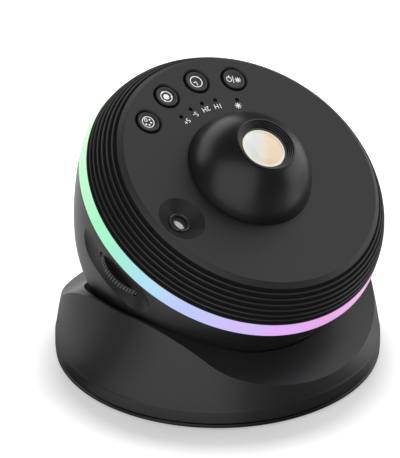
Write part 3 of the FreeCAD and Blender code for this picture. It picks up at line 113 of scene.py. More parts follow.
camera = add_camera()
bpy.context.scene.view_settings.view_transform = "Standard"
print("camera scale", round(camera.data.ortho_scale, 4))

# %% [markdown]
# Studio product light: a large soft panel at the front left, a low one at the right, one
# behind, and one high at the right that the flat control face mirrors. Matt black plastic
# shows its form only by these broad reflections and by the dark gaps between them, so the
# panels matter more here than the colour of the plastic.

# %% Lights
PANEL_FAR = 0.9
# name, azimuth and elevation in degrees, size in metres, power in watts
PANELS = (("front_panel", -64, 25, (1.30, 1.08), 4.9),
          ("right_panel", 68, 8, (1.2, 0.45), 2.3),
          ("back_panel", 178, 28, (1.36, 0.52), 3.2),
          ("face_panel", 84, 46, (0.95, 0.8), 3.1))


def soft_panel(name, turn, rise, size, power):
    """Area light that looks at the head from one of the places above."""
    back = seen_from(turn, rise)
    data = bpy.data.lights.new(name, "AREA")
    data.shape = "RECTANGLE"
    data.size, data.size_y = size
    data.energy = power
    lamp = bpy.data.objects.new(name, data)
    bpy.context.scene.collection.objects.link(lamp)
    lamp.location = back * PANEL_FAR + Vector((0, 0, PIVOT.z))
    lamp.rotation_mode = "QUATERNION"
    lamp.rotation_quaternion = (-back).to_track_quat("-Z", "Y")


for panel in PANELS:
    soft_panel(*panel)
print("lights", len(PANELS))

# %% [markdown]
# Every material below is a small tree of nodes. One helper adds a node, sets its values and
# plugs in other nodes, so that a tree reads from top to bottom like a recipe. The others
# stretch a value, fill a colour ramp and start a material that has no shader yet.

# %% A short way to write nodes
WHITE = (1, 1, 1, 1)


def add_node(tree, kind, operation=None, inputs=None):
    """Adds a shader node. Inputs go by name or number, and each is a value or a socket."""
    node = tree.nodes.new("ShaderNode" + kind)
    if operation:
        node.operation = operation
    for socket, value in (inputs or {}).items():
        if isinstance(value, bpy.types.NodeSocket):
            tree.links.new(value, node.inputs[socket])
        else:
            node.inputs[socket].default_value = value
    return node


def map_range(tree, value, start, end, low=0, high=1):
    """Value that goes from low to high while the given one goes from start to end."""
    return add_node(tree, "MapRange", inputs={
        "Value": value, "From Min": start, "From Max": end, "To Min": low,
        "To Max": high}).outputs["Result"]


def length(tree, vector):
    return add_node(tree, "VectorMath", "LENGTH", {0: vector}).outputs["Value"]


def add_ramp(tree, share, stops, soft=False):
    """Colour ramp; each stop is a position from 0 to 1 and a colour."""
    ramp = add_node(tree, "ValToRGB", inputs={"Fac": share})
    if soft:
        ramp.color_ramp.interpolation = "EASE"
    elements = ramp.color_ramp.elements
    while len(elements) < len(stops):
        elements.new(0.5)
    for element, (position, colour) in zip(elements, stops):
        element.position = position
        element.color = (*colour, 1)
    return ramp.outputs["Color"]


def bare_material(name):
    material = bpy.data.materials.new(name)
    material.use_nodes = True
    material.node_tree.nodes.clear()
    return material, material.node_tree


print("node helpers ready")

# %% [markdown]
# The backdrop is white only where the camera looks past the object. For all other light the
# world is a faint grey, which leaves the black plastic its deep shadows.

# %% World
WORLD_LEVEL = 0.05


def world_light(level):
    world = bpy.data.worlds.new("studio")
    bpy.context.scene.world = world
    world.use_nodes = True
    tree = world.node_tree
    tree.nodes.clear()
    plain = add_node(tree, "Background", inputs={"Color": WHITE, "Strength": level})
    white = add_node(tree, "Background", inputs={"Color": WHITE})
    path = add_node(tree, "LightPath")
    mix = add_node(tree, "MixShader", inputs={
        "Fac": path.outputs["Is Camera Ray"], 1: plain.outputs[0], 2: white.outputs[0]})
    add_node(tree, "OutputWorld", inputs={"Surface": mix.outputs[0]})


world_light(WORLD_LEVEL)
print("world level", WORLD_LEVEL)

# %% [markdown]
# The floor is pale paper that keeps the object's soft shadow. To the camera it also glows,
# so that it runs out into the white backdrop without throwing more light on the object. Close
# to the base, most of all in front of it, the glow is weaker: that is a painted shadow.

# %% Floor
FLOOR_SIZE = 30
# middle and edge of the floor's painted shadow in metres, and how strongly it glows in and out
SHADE_MIDDLE = (-0.0101, -0.0097, 0)
SHADE_START, SHADE_END = 0.062, 0.080
GLOW_NEAR, GLOW_FAR = 0.34, 0.85


def deselect():
    bpy.ops.object.select_all(action="DESELECT")


def add_floor():
    deselect()
    bpy.ops.mesh.primitive_plane_add(size=FLOOR_SIZE, location=(0, 0, 0))
    floor = bpy.context.object
    floor.name = "floor"
    material, tree = bare_material("floor_paper")
    paper = add_node(tree, "BsdfPrincipled", inputs={
        "Base Color": (0.8, 0.8, 0.8, 1), "Roughness": 0.35}).outputs[0]
    place = add_node(tree, "TexCoord").outputs["Object"]
    near = add_node(tree, "VectorMath", "DISTANCE", {0: place, 1: SHADE_MIDDLE})
    glow = add_node(tree, "Emission", inputs={"Strength": map_range(
        tree, near.outputs["Value"], SHADE_START, SHADE_END, GLOW_NEAR, GLOW_FAR)})
    lit = add_node(tree, "AddShader", inputs={0: paper, 1: glow.outputs[0]})
    path = add_node(tree, "LightPath")
    mix = add_node(tree, "MixShader", inputs={
        "Fac": path.outputs["Is Camera Ray"], 1: paper, 2: lit.outputs[0]})
    add_node(tree, "OutputMaterial", inputs={"Surface": mix.outputs[0]})
    floor.data.materials.append(material)
    floor.visible_glossy = False


add_floor()
print("floor", FLOOR_SIZE, "m")

# %% [markdown]
# Black plastic is drawn by what it mirrors. The low flanks mirror the table round the
# projector, so a round sheet on the table, which only reflections see, is light on some
# sides and dark on others, as white and black cards are set about a product in a studio.

# %% Cards on the table
TABLE_TONES = ((-180, 0.65), (-165, 0.5), (-150, 0.5), (-140, 0.55), (-127, 0.5), (-118, 0.12),
               (-108, 0.08), (-100, 0.5), (-88, 0.85), (-45, 0.85), (-30, 0.25), (-10, 0.1),
               (15, 0.25), (35, 0.9), (45, 0.9), (60, 0.5), (90, 0.6), (150, 1.0), (168, 1.0),
               (180, 0.65))
TABLE_GAIN = 1.2
TABLE_RADIUS = 0.7
TABLE_HEIGHT = 0.0006
# painted shade of the base on the sheet: how dim it is, and where it fades out
BASE_SHADE_SHARE = 0.3
BASE_SHADE_START, BASE_SHADE_END = 0.067, 0.090


def add_cards():
    deselect()
    bpy.ops.mesh.primitive_circle_add(vertices=96, radius=TABLE_RADIUS, fill_type="TRIFAN",
                                      location=(0, 0, TABLE_HEIGHT))
    cards = bpy.context.object
    cards.name = "table_cards"
    material, tree = bare_material("table_cards")
    place = add_node(tree, "TexCoord").outputs["Object"]
    split = add_node(tree, "SeparateXYZ", inputs={"Vector": place}).outputs
    front = add_node(tree, "Math", "MULTIPLY", {0: split["Y"], 1: -1}).outputs[0]
    angle = add_node(tree, "Math", "ARCTAN2", {0: split["X"], 1: front}).outputs[0]
    share = map_range(tree, angle, -math.pi, math.pi)
    stops = [((turn + 180) / 360, (level,) * 3) for turn, level in TABLE_TONES]
    # painted shade: close under the base the sheet is dimmer, where the base shades the table
    level = map_range(tree, length(tree, place), BASE_SHADE_START, BASE_SHADE_END,
                      TABLE_GAIN * BASE_SHADE_SHARE, TABLE_GAIN)
    glow = add_node(tree, "Emission", inputs={
        "Color": add_ramp(tree, share, stops, soft=True), "Strength": level})
    add_node(tree, "OutputMaterial", inputs={"Surface": glow.outputs[0]})
    cards.data.materials.append(material)
    cards.visible_camera = False
    cards.visible_diffuse = False
    cards.visible_shadow = False
    cards.visible_transmission = False


add_cards()
print("table tones", len(TABLE_TONES))

# %% [markdown]
# Nearly every shell of this projector is round, so one way of modelling serves them all: a
# circle is extruded ring by ring, and each new ring is moved up and scaled to its radius, as
# one would do by hand with E and S. Arcs in the outline are split into short steps first.

# %% Modelling by rings
# smallest radius and the distance at which points are merged
TINY = 0.001
WELD = 0.003


def bend(start, end, radius, steps=12):
    """Points of an arc from start to end, without start; it turns left when radius > 0."""
    x0, y0 = start
    x1, y1 = end
    chord = math.hypot(x1 - x0, y1 - y0)
    reach = math.sqrt(max(radius * radius - chord * chord / 4, 0)) * (1 if radius > 0 else -1)
    cx = (x0 + x1) / 2 - (y1 - y0) / chord * reach
    cy = (y0 + y1) / 2 + (x1 - x0) / chord * reach
    first = math.atan2(y0 - cy, x0 - cx)
    last = math.atan2(y1 - cy, x1 - cx)
    sweep = (last - first + math.pi) % (2 * math.pi) - math.pi
    size = abs(radius)
    return [(cx + size * math.cos(first + sweep * i / steps),
             cy + size * math.sin(first + sweep * i / steps)) for i in range(1, steps + 1)]


def lathe(name, outline, segments=192, closed=True):
    """Round piece from its outline (radius, height): ring after ring is extruded and scaled."""
    deselect()
    radius, height = outline[0]
    bpy.ops.mesh.primitive_circle_add(vertices=segments, radius=max(radius, TINY) * MM,
                                      location=(0, 0, height * MM))
    piece = bpy.context.object
    piece.name = name
    bpy.ops.object.transform_apply(location=True)
    bpy.ops.object.mode_set(mode="EDIT")
    bpy.ops.mesh.select_all(action="SELECT")
    steps = outline[1:] + ([outline[0]] if closed else [])
    for next_radius, next_height in steps:
        next_radius = max(next_radius, TINY)
        bpy.ops.mesh.extrude_edges_move(
            TRANSFORM_OT_translate={"value": (0, 0, (next_height - height) * MM)})
        scale = next_radius / max(radius, TINY)
        bpy.ops.transform.resize(value=(scale, scale, 1), center_override=(0, 0, next_height * MM))
        radius, height = next_radius, next_height
    bpy.ops.mesh.select_all(action="SELECT")
    bpy.ops.mesh.remove_doubles(threshold=WELD * MM)
    bpy.ops.mesh.normals_make_consistent(inside=False)
    bpy.ops.object.mode_set(mode="OBJECT")
    print(name, len(piece.data.polygons), "faces")
    return piece


print("points merged within", WELD, "mm")

# %% [markdown]
# Holes are cut with plain tools by the Boolean modifier. A moulded edge is never sharp, so a
# narrow bevel follows, then smooth shading by angle. Weighted normals keep the big faces
# flat in the reflections, where the cuts have left large many-sided faces.

# %% Cutting and softening
def active(piece):
    deselect()
    piece.select_set(True)
    bpy.context.view_layer.objects.active = piece


def carve(piece, tool, operation="DIFFERENCE"):
    """Cuts a tool out of a piece, or joins it, and removes the tool."""
    active(piece)
    modifier = piece.modifiers.new("carve", "BOOLEAN")
    modifier.object = tool
    modifier.operation = operation
    modifier.solver = "EXACT"
    bpy.ops.object.modifier_apply(modifier=modifier.name)
    bpy.data.objects.remove(tool)


def soften(piece, width, segments=2, angle=28):
    """Rounds the sharp edges as a mould does, and shades the rest smoothly."""
    active(piece)
    if width:
        modifier = piece.modifiers.new("soft_edges", "BEVEL")
        modifier.width = width * MM
        modifier.segments = segments
        modifier.limit_method = "ANGLE"
        modifier.angle_limit = math.radians(angle)
        bpy.ops.object.modifier_apply(modifier=modifier.name)
    bpy.ops.object.shade_smooth_by_angle(angle=math.radians(angle))
    modifier = piece.modifiers.new("flat_faces", "WEIGHTED_NORMAL")
    modifier.weight = 100
    modifier.keep_sharp = True
    bpy.ops.object.modifier_apply(modifier=modifier.name)


def drum(name, radius, low, high, x=0, y=0, segments=96):
    """Plain tool for round holes."""
    deselect()
    bpy.ops.mesh.primitive_cylinder_add(vertices=segments, radius=radius * MM,
                                        depth=(high - low) * MM,
                                        location=(x * MM, y * MM, (high + low) / 2 * MM))
    tool = bpy.context.object
    tool.name = name
    bpy.ops.object.transform_apply(location=True)
    return tool


def flat_bar(name, width, height, near, far, middle, turn):
    """Bar with round ends that points out of the head, to the front before it is turned."""
    reach = (width - height) / 2
    tool = None
    for side in (-1, 1):
        deselect()
        bpy.ops.mesh.primitive_cylinder_add(vertices=48, radius=height / 2 * MM,
                                            depth=(far - near) * MM)
        rod = bpy.context.object
        rod.data.transform(Matrix.Translation((reach * side * MM, -(near + far) / 2 * MM,
                                               middle * MM)) @ Matrix.Rotation(math.pi / 2, 4, "X"))
        if tool is None:
            tool = rod
        else:
            carve(tool, rod, "UNION")
    deselect()
    bpy.ops.mesh.primitive_cube_add(size=1)
    block = bpy.context.object
    block.data.transform(Matrix.Translation((0, -(near + far) / 2 * MM, middle * MM))
                         @ Matrix.Diagonal((reach * 2 * MM, (far - near) * MM, height * MM, 1)))
    carve(tool, block, "UNION")
    tool.name = name
    tool.data.transform(Matrix.Rotation(math.radians(turn), 4, "Z"))
    return tool


print("tools ready")

# %% [markdown]
# Pieces of the head are modelled upright at the origin and then leaned into place by moving
# the mesh itself, so the object stays unturned. The last helper says which body a piece
# rides on, which material slot it fills and which plain piece of the frame it replaces.

# %% Into place
def shift(x, y, z=0):
    return Matrix.Translation((x * MM, y * MM, z * MM))


def join(pieces, name):
    deselect()
    for piece in pieces:
        piece.select_set(True)
    bpy.context.view_layer.objects.active = pieces[0]
    bpy.ops.object.join()
    pieces[0].name = name
    return pieces[0]


def into_head(piece):
    """Leans a piece that was modelled upright and puts it at the socket's centre."""
    piece.data.transform(HEAD_PLACE)
    piece.data.update()


def around(ring, turn):
    """Point on the face, with the angle anticlockwise from the top of the face."""
    angle = math.radians(turn)
    return -ring * math.sin(angle), ring * math.cos(angle)


def finish_piece(piece, body, replaced, material):
    piece.data.materials.clear()
    piece.data.materials.append(material)
    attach(piece, body)
    if replaced:
        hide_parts(*replaced)


print("place helpers ready")

# %% [markdown]
# The finish of the shells is a fine spark-eroded mould texture: a grain of about a fifth of a
# millimetre that breaks up the reflections, with slow, faint changes of tone. Several
# materials here share it, so it is a node group with its own inputs.

# %% Mould grain, a shared effect
SLOW_SCALE = 35
SLOW_TONES = (0.92, 1.08)


def make_grain_group():
    group = bpy.data.node_groups.new("mould_grain", "ShaderNodeTree")
    for label, kind, value in (("Tone", "NodeSocketColor", (0.05, 0.05, 0.05, 1)),
                               ("Grain Size", "NodeSocketFloat", 5000.0),
                               ("Roughness", "NodeSocketFloat", 0.4),
                               ("Spread", "NodeSocketFloat", 0.06)):
        socket = group.interface.new_socket(label, in_out="INPUT", socket_type=kind)
        socket.default_value = value
    for label, kind in (("Color", "NodeSocketColor"), ("Roughness", "NodeSocketFloat"),
                        ("Height", "NodeSocketFloat")):
        group.interface.new_socket(label, in_out="OUTPUT", socket_type=kind)
    given = group.nodes.new("NodeGroupInput").outputs
    result = group.nodes.new("NodeGroupOutput").inputs
    place = add_node(group, "TexCoord").outputs["Object"]
    fine = add_node(group, "TexNoise", inputs={
        "Vector": place, "Scale": given["Grain Size"], "Detail": 3}).outputs["Fac"]
    slow = add_node(group, "TexNoise", inputs={
        "Vector": place, "Scale": SLOW_SCALE, "Detail": 2}).outputs["Fac"]
    tone = add_node(group, "VectorMath", "SCALE", {
        0: given["Tone"], "Scale": map_range(group, slow, 0, 1, *SLOW_TONES)})
    centred = add_node(group, "Math", "SUBTRACT", {0: fine, 1: 0.5})
    rough = add_node(group, "Math", "MULTIPLY_ADD", {
        0: centred.outputs[0], 1: given["Spread"], 2: given["Roughness"]})
    for label, value in (("Color", tone.outputs[0]), ("Roughness", rough.outputs[0]),
                         ("Height", fine)):
        group.links.new(value, result[label])


make_grain_group()
print("groups", [group.name for group in bpy.data.node_groups])

# %% [markdown]
# The shells are near-black plastic and differ only in tone and in how matt they are. The
# printed signs are white ink with a painted glow, a little emitted light that lifts them, so that
# they stay readable on the dark caps. The grain group gives colour and roughness, and its height
# feeds a faint relief.

# %% Moulded plastics
RELIEF = 0.05


def principled(name):
    material = bpy.data.materials.new(name)
    material.use_nodes = True
    return material, material.node_tree, material.node_tree.nodes["Principled BSDF"]


def grained(name, tone, roughness, grain, spread):
    """Material whose colour and roughness come through the shared grain."""
    material, tree, shader = principled(name)
    finish = tree.nodes.new("ShaderNodeGroup")
    finish.node_tree = bpy.data.node_groups["mould_grain"]
    for label, value in (("Tone", (*tone, 1)), ("Grain Size", grain), ("Roughness", roughness),
                         ("Spread", spread)):
        finish.inputs[label].default_value = value
    tree.links.new(finish.outputs["Color"], shader.inputs["Base Color"])
    tree.links.new(finish.outputs["Roughness"], shader.inputs["Roughness"])
    return material, shader, finish.outputs["Height"]


def moulded(name, tone, roughness, grain=5000, bump=0.08, spread=0.06):
    """Plastic straight from the mould, with the shared grain as relief."""
    material, shader, height = grained(name, tone, roughness, grain, spread)
    tree = material.node_tree
    relief = add_node(tree, "Bump", inputs={
        "Strength": bump, "Distance": RELIEF * MM, "Height": height})
    tree.links.new(relief.outputs["Normal"], shader.inputs["Normal"])
    return material


def set_values(material, values):
    """Plain values on the sockets of a material's shader."""
    shader = material.node_tree.nodes["Principled BSDF"]
    for socket, value in values.items():
        shader.inputs[socket].default_value = value


SHELL = moulded("black_shell", (0.014, 0.014, 0.0143), 0.34)
BASE_BLACK = moulded("base_black", (0.021, 0.021, 0.0214), 0.38)
DOME = moulded("black_dome", (0.013, 0.013, 0.0133), 0.32)
BUTTON = moulded("black_button", (0.010, 0.010, 0.0102), 0.34)
WHEEL = moulded("black_wheel", (0.008, 0.008, 0.008), 0.6)
TYRE = moulded("knurled_tyre", (0.13, 0.13, 0.132), 0.3)
FRAME = moulded("grey_frame", (0.06, 0.06, 0.065), 0.5)
NYLON = moulded("white_nylon", (0.72, 0.70, 0.66), 0.45)
RUBBER = moulded("foot_rubber", (0.02, 0.02, 0.02), 0.7)
PIPE = moulded("smoked_pipe", (0.004, 0.004, 0.005), 0.8)
PRINT = moulded("white_print", (0.85, 0.85, 0.84), 0.5, bump=0.02)
# painted glow: the white print gives off a little light of its own
set_values(PRINT, {"Emission Color": WHITE, "Emission Strength": 0.45})
set_values(PIPE, {"Specular IOR Level": 0.06})
FELT = moulded("pad_felt", (0.03, 0.03, 0.03), 0.9, grain=2500, bump=0.6)
print("plastics made")

# %% [markdown]
# Metals and glass take their grain from the same group, but coarser and without relief. Most
# of these pieces sit inside and show only through gaps or when the dome is lifted off.

# %% Metals, boards and glass
def metal(name, tone, roughness):
    material = grained(name, tone, roughness, 900, 0.15)[0]
    set_values(material, {"Metallic": 1})
    return material


def glass(name, tone, roughness=0.02):
    material = grained(name, tone, roughness, 400, 0.01)[0]
    set_values(material, {"Transmission Weight": 1, "IOR": 1.5})
    return material


STEEL = metal("plated_steel", (0.55, 0.55, 0.56), 0.32)
ALUMINIUM = metal("turned_aluminium", (0.66, 0.66, 0.68), 0.38)
IRON = metal("cast_iron", (0.12, 0.12, 0.13), 0.65)
BRASS = metal("cut_brass", (0.72, 0.50, 0.20), 0.3)
DARK_RIM = moulded("dark_rim", (0.003, 0.003, 0.003), 0.6)
BOARD = moulded("green_board", (0.02, 0.16, 0.07), 0.35, grain=1200)
WHITE_BOARD = moulded("white_board", (0.75, 0.76, 0.74), 0.4, grain=1200)
CHIP = moulded("chip_plastic", (0.02, 0.02, 0.02), 0.55)
LENS_GLASS = glass("lens_glass", (0.95, 0.96, 0.97))
print("metals, boards and glass made")

# %% [markdown]
# Several finishes on the head change with the distance from its axis or with the angle round
# it. Object coordinates start on the table, so the socket's centre is taken off them and the
# lean is undone. What is worked out from them then stays on the piece when the head tilts.

# %% Places on the head
def head_place(tree):
    return add_node(tree, "Mapping", inputs={
        "Vector": add_node(tree, "TexCoord").outputs["Object"], "Rotation": (-LEAN, 0, 0),
        "Location": Matrix.Rotation(-LEAN, 3, "X") @ -PIVOT}).outputs["Vector"]


def head_parts(tree):
    """The place's parts along X, Y and Z, and the part of it that lies across the axis."""
    split = add_node(tree, "SeparateXYZ", inputs={"Vector": head_place(tree)}).outputs
    flat = add_node(tree, "CombineXYZ", inputs={"X": split["X"], "Y": split["Y"]}).outputs[0]
    return split, flat


def from_screen(colour):
    """Colour as a screen names it, 0 to 255, turned into light."""
    return [(c / 255 / 12.92) if c < 11 else ((c / 255 + 0.055) / 1.055) ** 2.4 for c in colour]


print("head coordinates ready")

# %% [markdown]
# The light ring is a frosted strip lit from inside by coloured diodes. Its colour changes
# slowly round the ring: pale green on one side, through mint and pale blue to lavender and
# pink on the other. Only the outer face is clear; the inside of the strip is masked.

# %% Light ring material
RING_COLOURS = (
    (0.00, (226, 165, 226)), (0.06, (224, 172, 246)), (0.10, (206, 182, 244)),
    (0.17, (182, 194, 244)), (0.21, (170, 216, 238)), (0.25, (158, 232, 212)),
    (0.28, (158, 243, 196)), (0.34, (182, 250, 200)), (0.40, (208, 252, 212)),
    (0.50, (226, 248, 190)), (0.60, (250, 236, 176)), (0.70, (250, 206, 176)),
    (0.84, (240, 182, 202)), (1.00, (226, 165, 226)),
)
CLEAR_RADIUS = 62.6


def ring_light():
    material, tree, shader = principled("light_ring_glow")
    split, flat = head_parts(tree)
    angle = add_node(tree, "Math", "ARCTAN2", {0: split["X"], 1: split["Y"]}).outputs[0]
    share = map_range(tree, angle, -math.pi, math.pi)
    stops = [(position, from_screen(colour)) for position, colour in RING_COLOURS]
    outside = add_node(tree, "Math", "GREATER_THAN", {0: length(tree, flat),
                                                      1: CLEAR_RADIUS * MM})
    lit = add_node(tree, "VectorMath", "SCALE", {
        0: add_ramp(tree, share, stops, soft=True), "Scale": outside.outputs[0]})
    tree.links.new(lit.outputs[0], shader.inputs["Emission Color"])
    set_values(material, {"Base Color": (0.05, 0.05, 0.05, 1), "Roughness": 0.5,
                          "Emission Strength": 1.0})
    return material


RING_GLOW = ring_light()
print("ring colours", len(RING_COLOURS))

# %% [markdown]
# The base is a round block with a ball socket, and from its two ears a saddle falls to the
# front and the back: a round crest first, then a hollow that runs out at the rim. It is
# turned on the lathe and then carved with the same ball and saddle that shape the solid.

# %% Base casing
SOCKET = 59.8
EAR_TOP = 41.5
CREST = (9, EAR_TOP)
CREST_RADIUS = 54
KNEE = (39.72, 28.46)
HOLLOW_RADIUS = 60
RIM = (52.78, 19.81)
RIM_FALL = math.tan(math.radians(26))
BAND_TOP = 8.2
BASE_LOW = 2.5
FLANK_FOOT = (64.8, BAND_TOP)
FLANK_TOP = (58.3, EAR_TOP)
FLANK_RADIUS = 190
BORE = 36.5


def saddle_tool(side):
    """Space over one slope: its outline is drawn point by point, filled and drawn out along X."""
    reach = BASE_RADIUS * 2
    outline = [CREST] + bend(CREST, KNEE, -CREST_RADIUS, 20) + bend(KNEE, RIM, HOLLOW_RADIUS, 10)
    outline += [(reach, RIM[1] - (reach - RIM[0]) * RIM_FALL), (reach, reach),
                (CREST[0], reach), CREST]
    deselect()
    bpy.ops.mesh.primitive_plane_add(size=MM)
    tool = bpy.context.object
    tool.name = "saddle_tool"
    bpy.ops.object.mode_set(mode="EDIT")
    bpy.ops.mesh.select_all(action="SELECT")
    bpy.ops.mesh.merge(type="CENTER")
    across, up = outline[0]
    bpy.ops.transform.translate(value=(-reach * MM, across * side * MM, up * MM))
    for next_across, next_up in outline[1:]:
        bpy.ops.mesh.extrude_vertices_move(TRANSFORM_OT_translate={
            "value": (0, (next_across - across) * side * MM, (next_up - up) * MM)})
        across, up = next_across, next_up
    bpy.ops.mesh.select_all(action="SELECT")
    bpy.ops.mesh.remove_doubles(threshold=TINY * MM)
    bpy.ops.mesh.edge_face_add()
    bpy.ops.mesh.extrude_region_move(TRANSFORM_OT_translate={"value": (reach * 2 * MM, 0, 0)})
    bpy.ops.mesh.select_all(action="SELECT")
    bpy.ops.mesh.normals_make_consistent(inside=False)
    bpy.ops.object.mode_set(mode="OBJECT")
    return tool


def base_casing():
    outline = [(0, BASE_LOW), (64.6, BASE_LOW), (BASE_RADIUS, BASE_LOW + 0.4),
               (BASE_RADIUS, BAND_TOP - 0.3), FLANK_FOOT]
    outline += bend(FLANK_FOOT, FLANK_TOP, FLANK_RADIUS, 24) + [(0, EAR_TOP)]
    casing = lathe("base_casing", outline, 256)
    bottom = (0, PIVOT.z / MM - SOCKET)
    top = (0.01, PIVOT.z / MM + SOCKET - TINY)
    carve(casing, lathe("socket_tool", [bottom] + bend(bottom, top, SOCKET, 96), 256, False))
    for side in (1, -1):
        carve(casing, saddle_tool(side))
    carve(casing, drum("bore_tool", BORE, -1, 20))
    soften(casing, 0.35)
    finish_piece(casing, "base", ["base_shell"], BASE_BLACK)


base_casing()

# %% [markdown]
# The foot is a flat disc with a groove for its rubber ring. A thin dark seam sets it off from
# the base, because the base turns on it, so it is a piece of its own.

# %% Foot
FOOT_OUTLINE = [(0, 0.45), (51.9, 0.45), (51.9, 1.15), (61.1, 1.15), (61.1, 0.45),
                (64.5, 0.45), (64.8, 0.7), (64.8, 1.6), (64.5, 1.9), (0, 1.9)]


def foot_disc():
    disc = lathe("foot_disc", FOOT_OUTLINE, 256)
    soften(disc, 0)
    finish_piece(disc, "foot", ["foot_plate"], SHELL)


foot_disc()

# %% [markdown]
# The lower shell is a bowl. Its finger scoop is a soft hollow that follows the wall, so its
# tool is a ring with a round section, cut short and closed by two balls.

# %% Finger scoop
SCOOP_BALL = 21
SCOOP_RING = 79.1
SCOOP_HEIGHT = -3.9
SCOOP_TURN = 88.5
SCOOP_SWEEP = 23.8


def scoop_tool():
    """Ring segment with round ends."""
    inner, outer = ((SCOOP_RING + side * SCOOP_BALL, SCOOP_HEIGHT) for side in (-1, 1))
    outline = [inner] + bend(inner, outer, SCOOP_BALL, 24)[:-1]
    outline += [outer] + bend(outer, inner, SCOOP_BALL, 24)[:-1]
    tool = lathe("scoop_tool", outline, 288)
    # keep only the stretch at the thumb wheel
    for side in (-1, 1):
        x, y = around(1, SCOOP_TURN + side * SCOOP_SWEEP / 2)
        normal = Vector((-y, x, 0)) * side
        active(tool)
        bpy.ops.object.mode_set(mode="EDIT")
        bpy.ops.mesh.select_all(action="SELECT")
        bpy.ops.mesh.bisect(plane_co=(0, 0, 0), plane_no=normal, clear_outer=True, use_fill=True)
        bpy.ops.object.mode_set(mode="OBJECT")
    for side in (-1, 1):
        x, y = around(SCOOP_RING, SCOOP_TURN + side * SCOOP_SWEEP / 2)
        deselect()
        bpy.ops.mesh.primitive_uv_sphere_add(segments=96, ring_count=64, radius=SCOOP_BALL * MM,
                                             location=(x * MM, y * MM, SCOOP_HEIGHT * MM))
        ball = bpy.context.object
        bpy.ops.object.transform_apply(location=True)
        carve(tool, ball, "UNION")
    return tool


print("scoop at", SCOOP_TURN, "degrees")

# %% [markdown]
# The slot in the scoop shows the ribbed thumb wheel, which has a round pocket of its own in
# the wall. At the front a small flat hole with round ends takes the plug of the power lead.

# %% Lower shell
BALL = 57.5
BALL_LOW = math.radians(48)
BALL_HIGH = math.radians(66.4)
RING_LOW = 12
BOTTOM = (24, -48.5)
BOTTOM_RADIUS = 31.1
FLARE_RADIUS = 195.7
BOWL_INSIDE = [(59.4, RING_LOW), (58, RING_LOW - 3), (54, -10), (49, -25), (38, -37),
               (24, -45), (0, -45.5)]
SLOT_LENGTH = 23.4
SLOT_HEIGHT = 3.4
WHEEL_PLACE = -46
WHEEL_POCKET = 15.7
USB_TURN = 174.5
USB_WIDTH = 8.9
USB_HEIGHT = 3.2
USB_GAP = 0.3
USB_MIDDLE = 3.45


def ball_point(angle):
    return BALL * math.sin(angle), -BALL * math.cos(angle)


def bowl():
    low, high = ball_point(BALL_LOW), ball_point(BALL_HIGH)
    outer = [(0, BOTTOM[1]), BOTTOM] + bend(BOTTOM, low, BOTTOM_RADIUS, 14)
    outer += bend(low, high, BALL, 14)
    outer += bend(high, (64.1, RING_LOW - 0.3), FLARE_RADIUS, 24) + [(63.8, RING_LOW)]
    shell = lathe("bowl_shell", outer + BOWL_INSIDE, 256)
    carve(shell, scoop_tool())
    carve(shell, flat_bar("slot_tool", SLOT_LENGTH, SLOT_HEIGHT, 50, 66, 0, -90))
    carve(shell, drum("pocket_tool", WHEEL_POCKET, -SLOT_HEIGHT / 2, SLOT_HEIGHT / 2, WHEEL_PLACE))
    carve(shell, flat_bar("usb_tool", USB_WIDTH + USB_GAP, USB_HEIGHT + USB_GAP, 52, 68,
                          USB_MIDDLE, USB_TURN - 180))
    soften(shell, 0.3)
    into_head(shell)
    finish_piece(shell, "head", ["lower_shell"], SHELL)


bowl()

# %% [markdown]
# The thumb wheel's rim is knurled with fine straight ribs. One rib is drawn and spun round
# the wheel's axis, and a plain tyre carries them all over the moulded wheel of the frame.

# %% Wheel tyre
TYRE_RADIUS = 15.2
WHEEL_HALF = 1.4
RIB_RADIUS = 0.3
RIB_COUNT = 72
TYRE_OUTLINE = [(TYRE_RADIUS - 0.6, -WHEEL_HALF), (TYRE_RADIUS - 0.1, -WHEEL_HALF),
                (TYRE_RADIUS + 0.02, -WHEEL_HALF + 0.3), (TYRE_RADIUS + 0.02, WHEEL_HALF - 0.3),
                (TYRE_RADIUS - 0.1, WHEEL_HALF), (TYRE_RADIUS - 0.6, WHEEL_HALF)]


def wheel_tyre():
    tyre = lathe("wheel_tyre", TYRE_OUTLINE, 216)
    deselect()
    bpy.ops.mesh.primitive_cylinder_add(vertices=10, radius=RIB_RADIUS * MM,
                                        depth=WHEEL_HALF * 1.7 * MM,
                                        location=(TYRE_RADIUS * MM, 0, 0))
    ribs = bpy.context.object
    bpy.ops.object.transform_apply(location=True)
    bpy.ops.object.mode_set(mode="EDIT")
    bpy.ops.mesh.select_all(action="SELECT")
    bpy.ops.mesh.spin(dupli=True, steps=RIB_COUNT, angle=math.tau, center=(0, 0, 0),
                      axis=(0, 0, 1))
    bpy.ops.mesh.select_all(action="SELECT")
    bpy.ops.mesh.remove_doubles(threshold=TINY * MM)
    bpy.ops.object.mode_set(mode="OBJECT")
    ribs.name = "wheel_ribs"
    for piece, material in ((tyre, WHEEL), (ribs, TYRE)):
        soften(piece, 0, angle=40)
        piece.data.transform(shift(WHEEL_PLACE, 0))
        into_head(piece)
        finish_piece(piece, "focus_wheel", None, material)


wheel_tyre()

# %% [markdown]
# The light ring is a slightly conical strip with small round edges, flush between the two
# shells. A single outline turned on the lathe makes it.

# %% Light ring
RING_HIGH = 18.4
RING_INNER = 60.9
RING_TAPER = 0.7


def light_ring():
    low, high = RING_RADIUS, RING_RADIUS - RING_TAPER
    outline = [(RING_INNER, RING_LOW + 0.05), (low - 0.15, RING_LOW + 0.05), (low, RING_LOW + 0.25)]
    outline += [(low - 0.05, RING_LOW + 2), ((low + high) / 2 + 0.02, (RING_LOW + RING_HIGH) / 2),
                (high + 0.05, RING_HIGH - 2)]
    outline += [(high, RING_HIGH - 0.2), (high - 0.15, RING_HIGH), (RING_INNER, RING_HIGH)]
    ring = lathe("light_band", outline, 256)
    soften(ring, 0)
    into_head(ring)
    finish_piece(ring, "head", ["light_ring"], RING_GLOW)


light_ring()
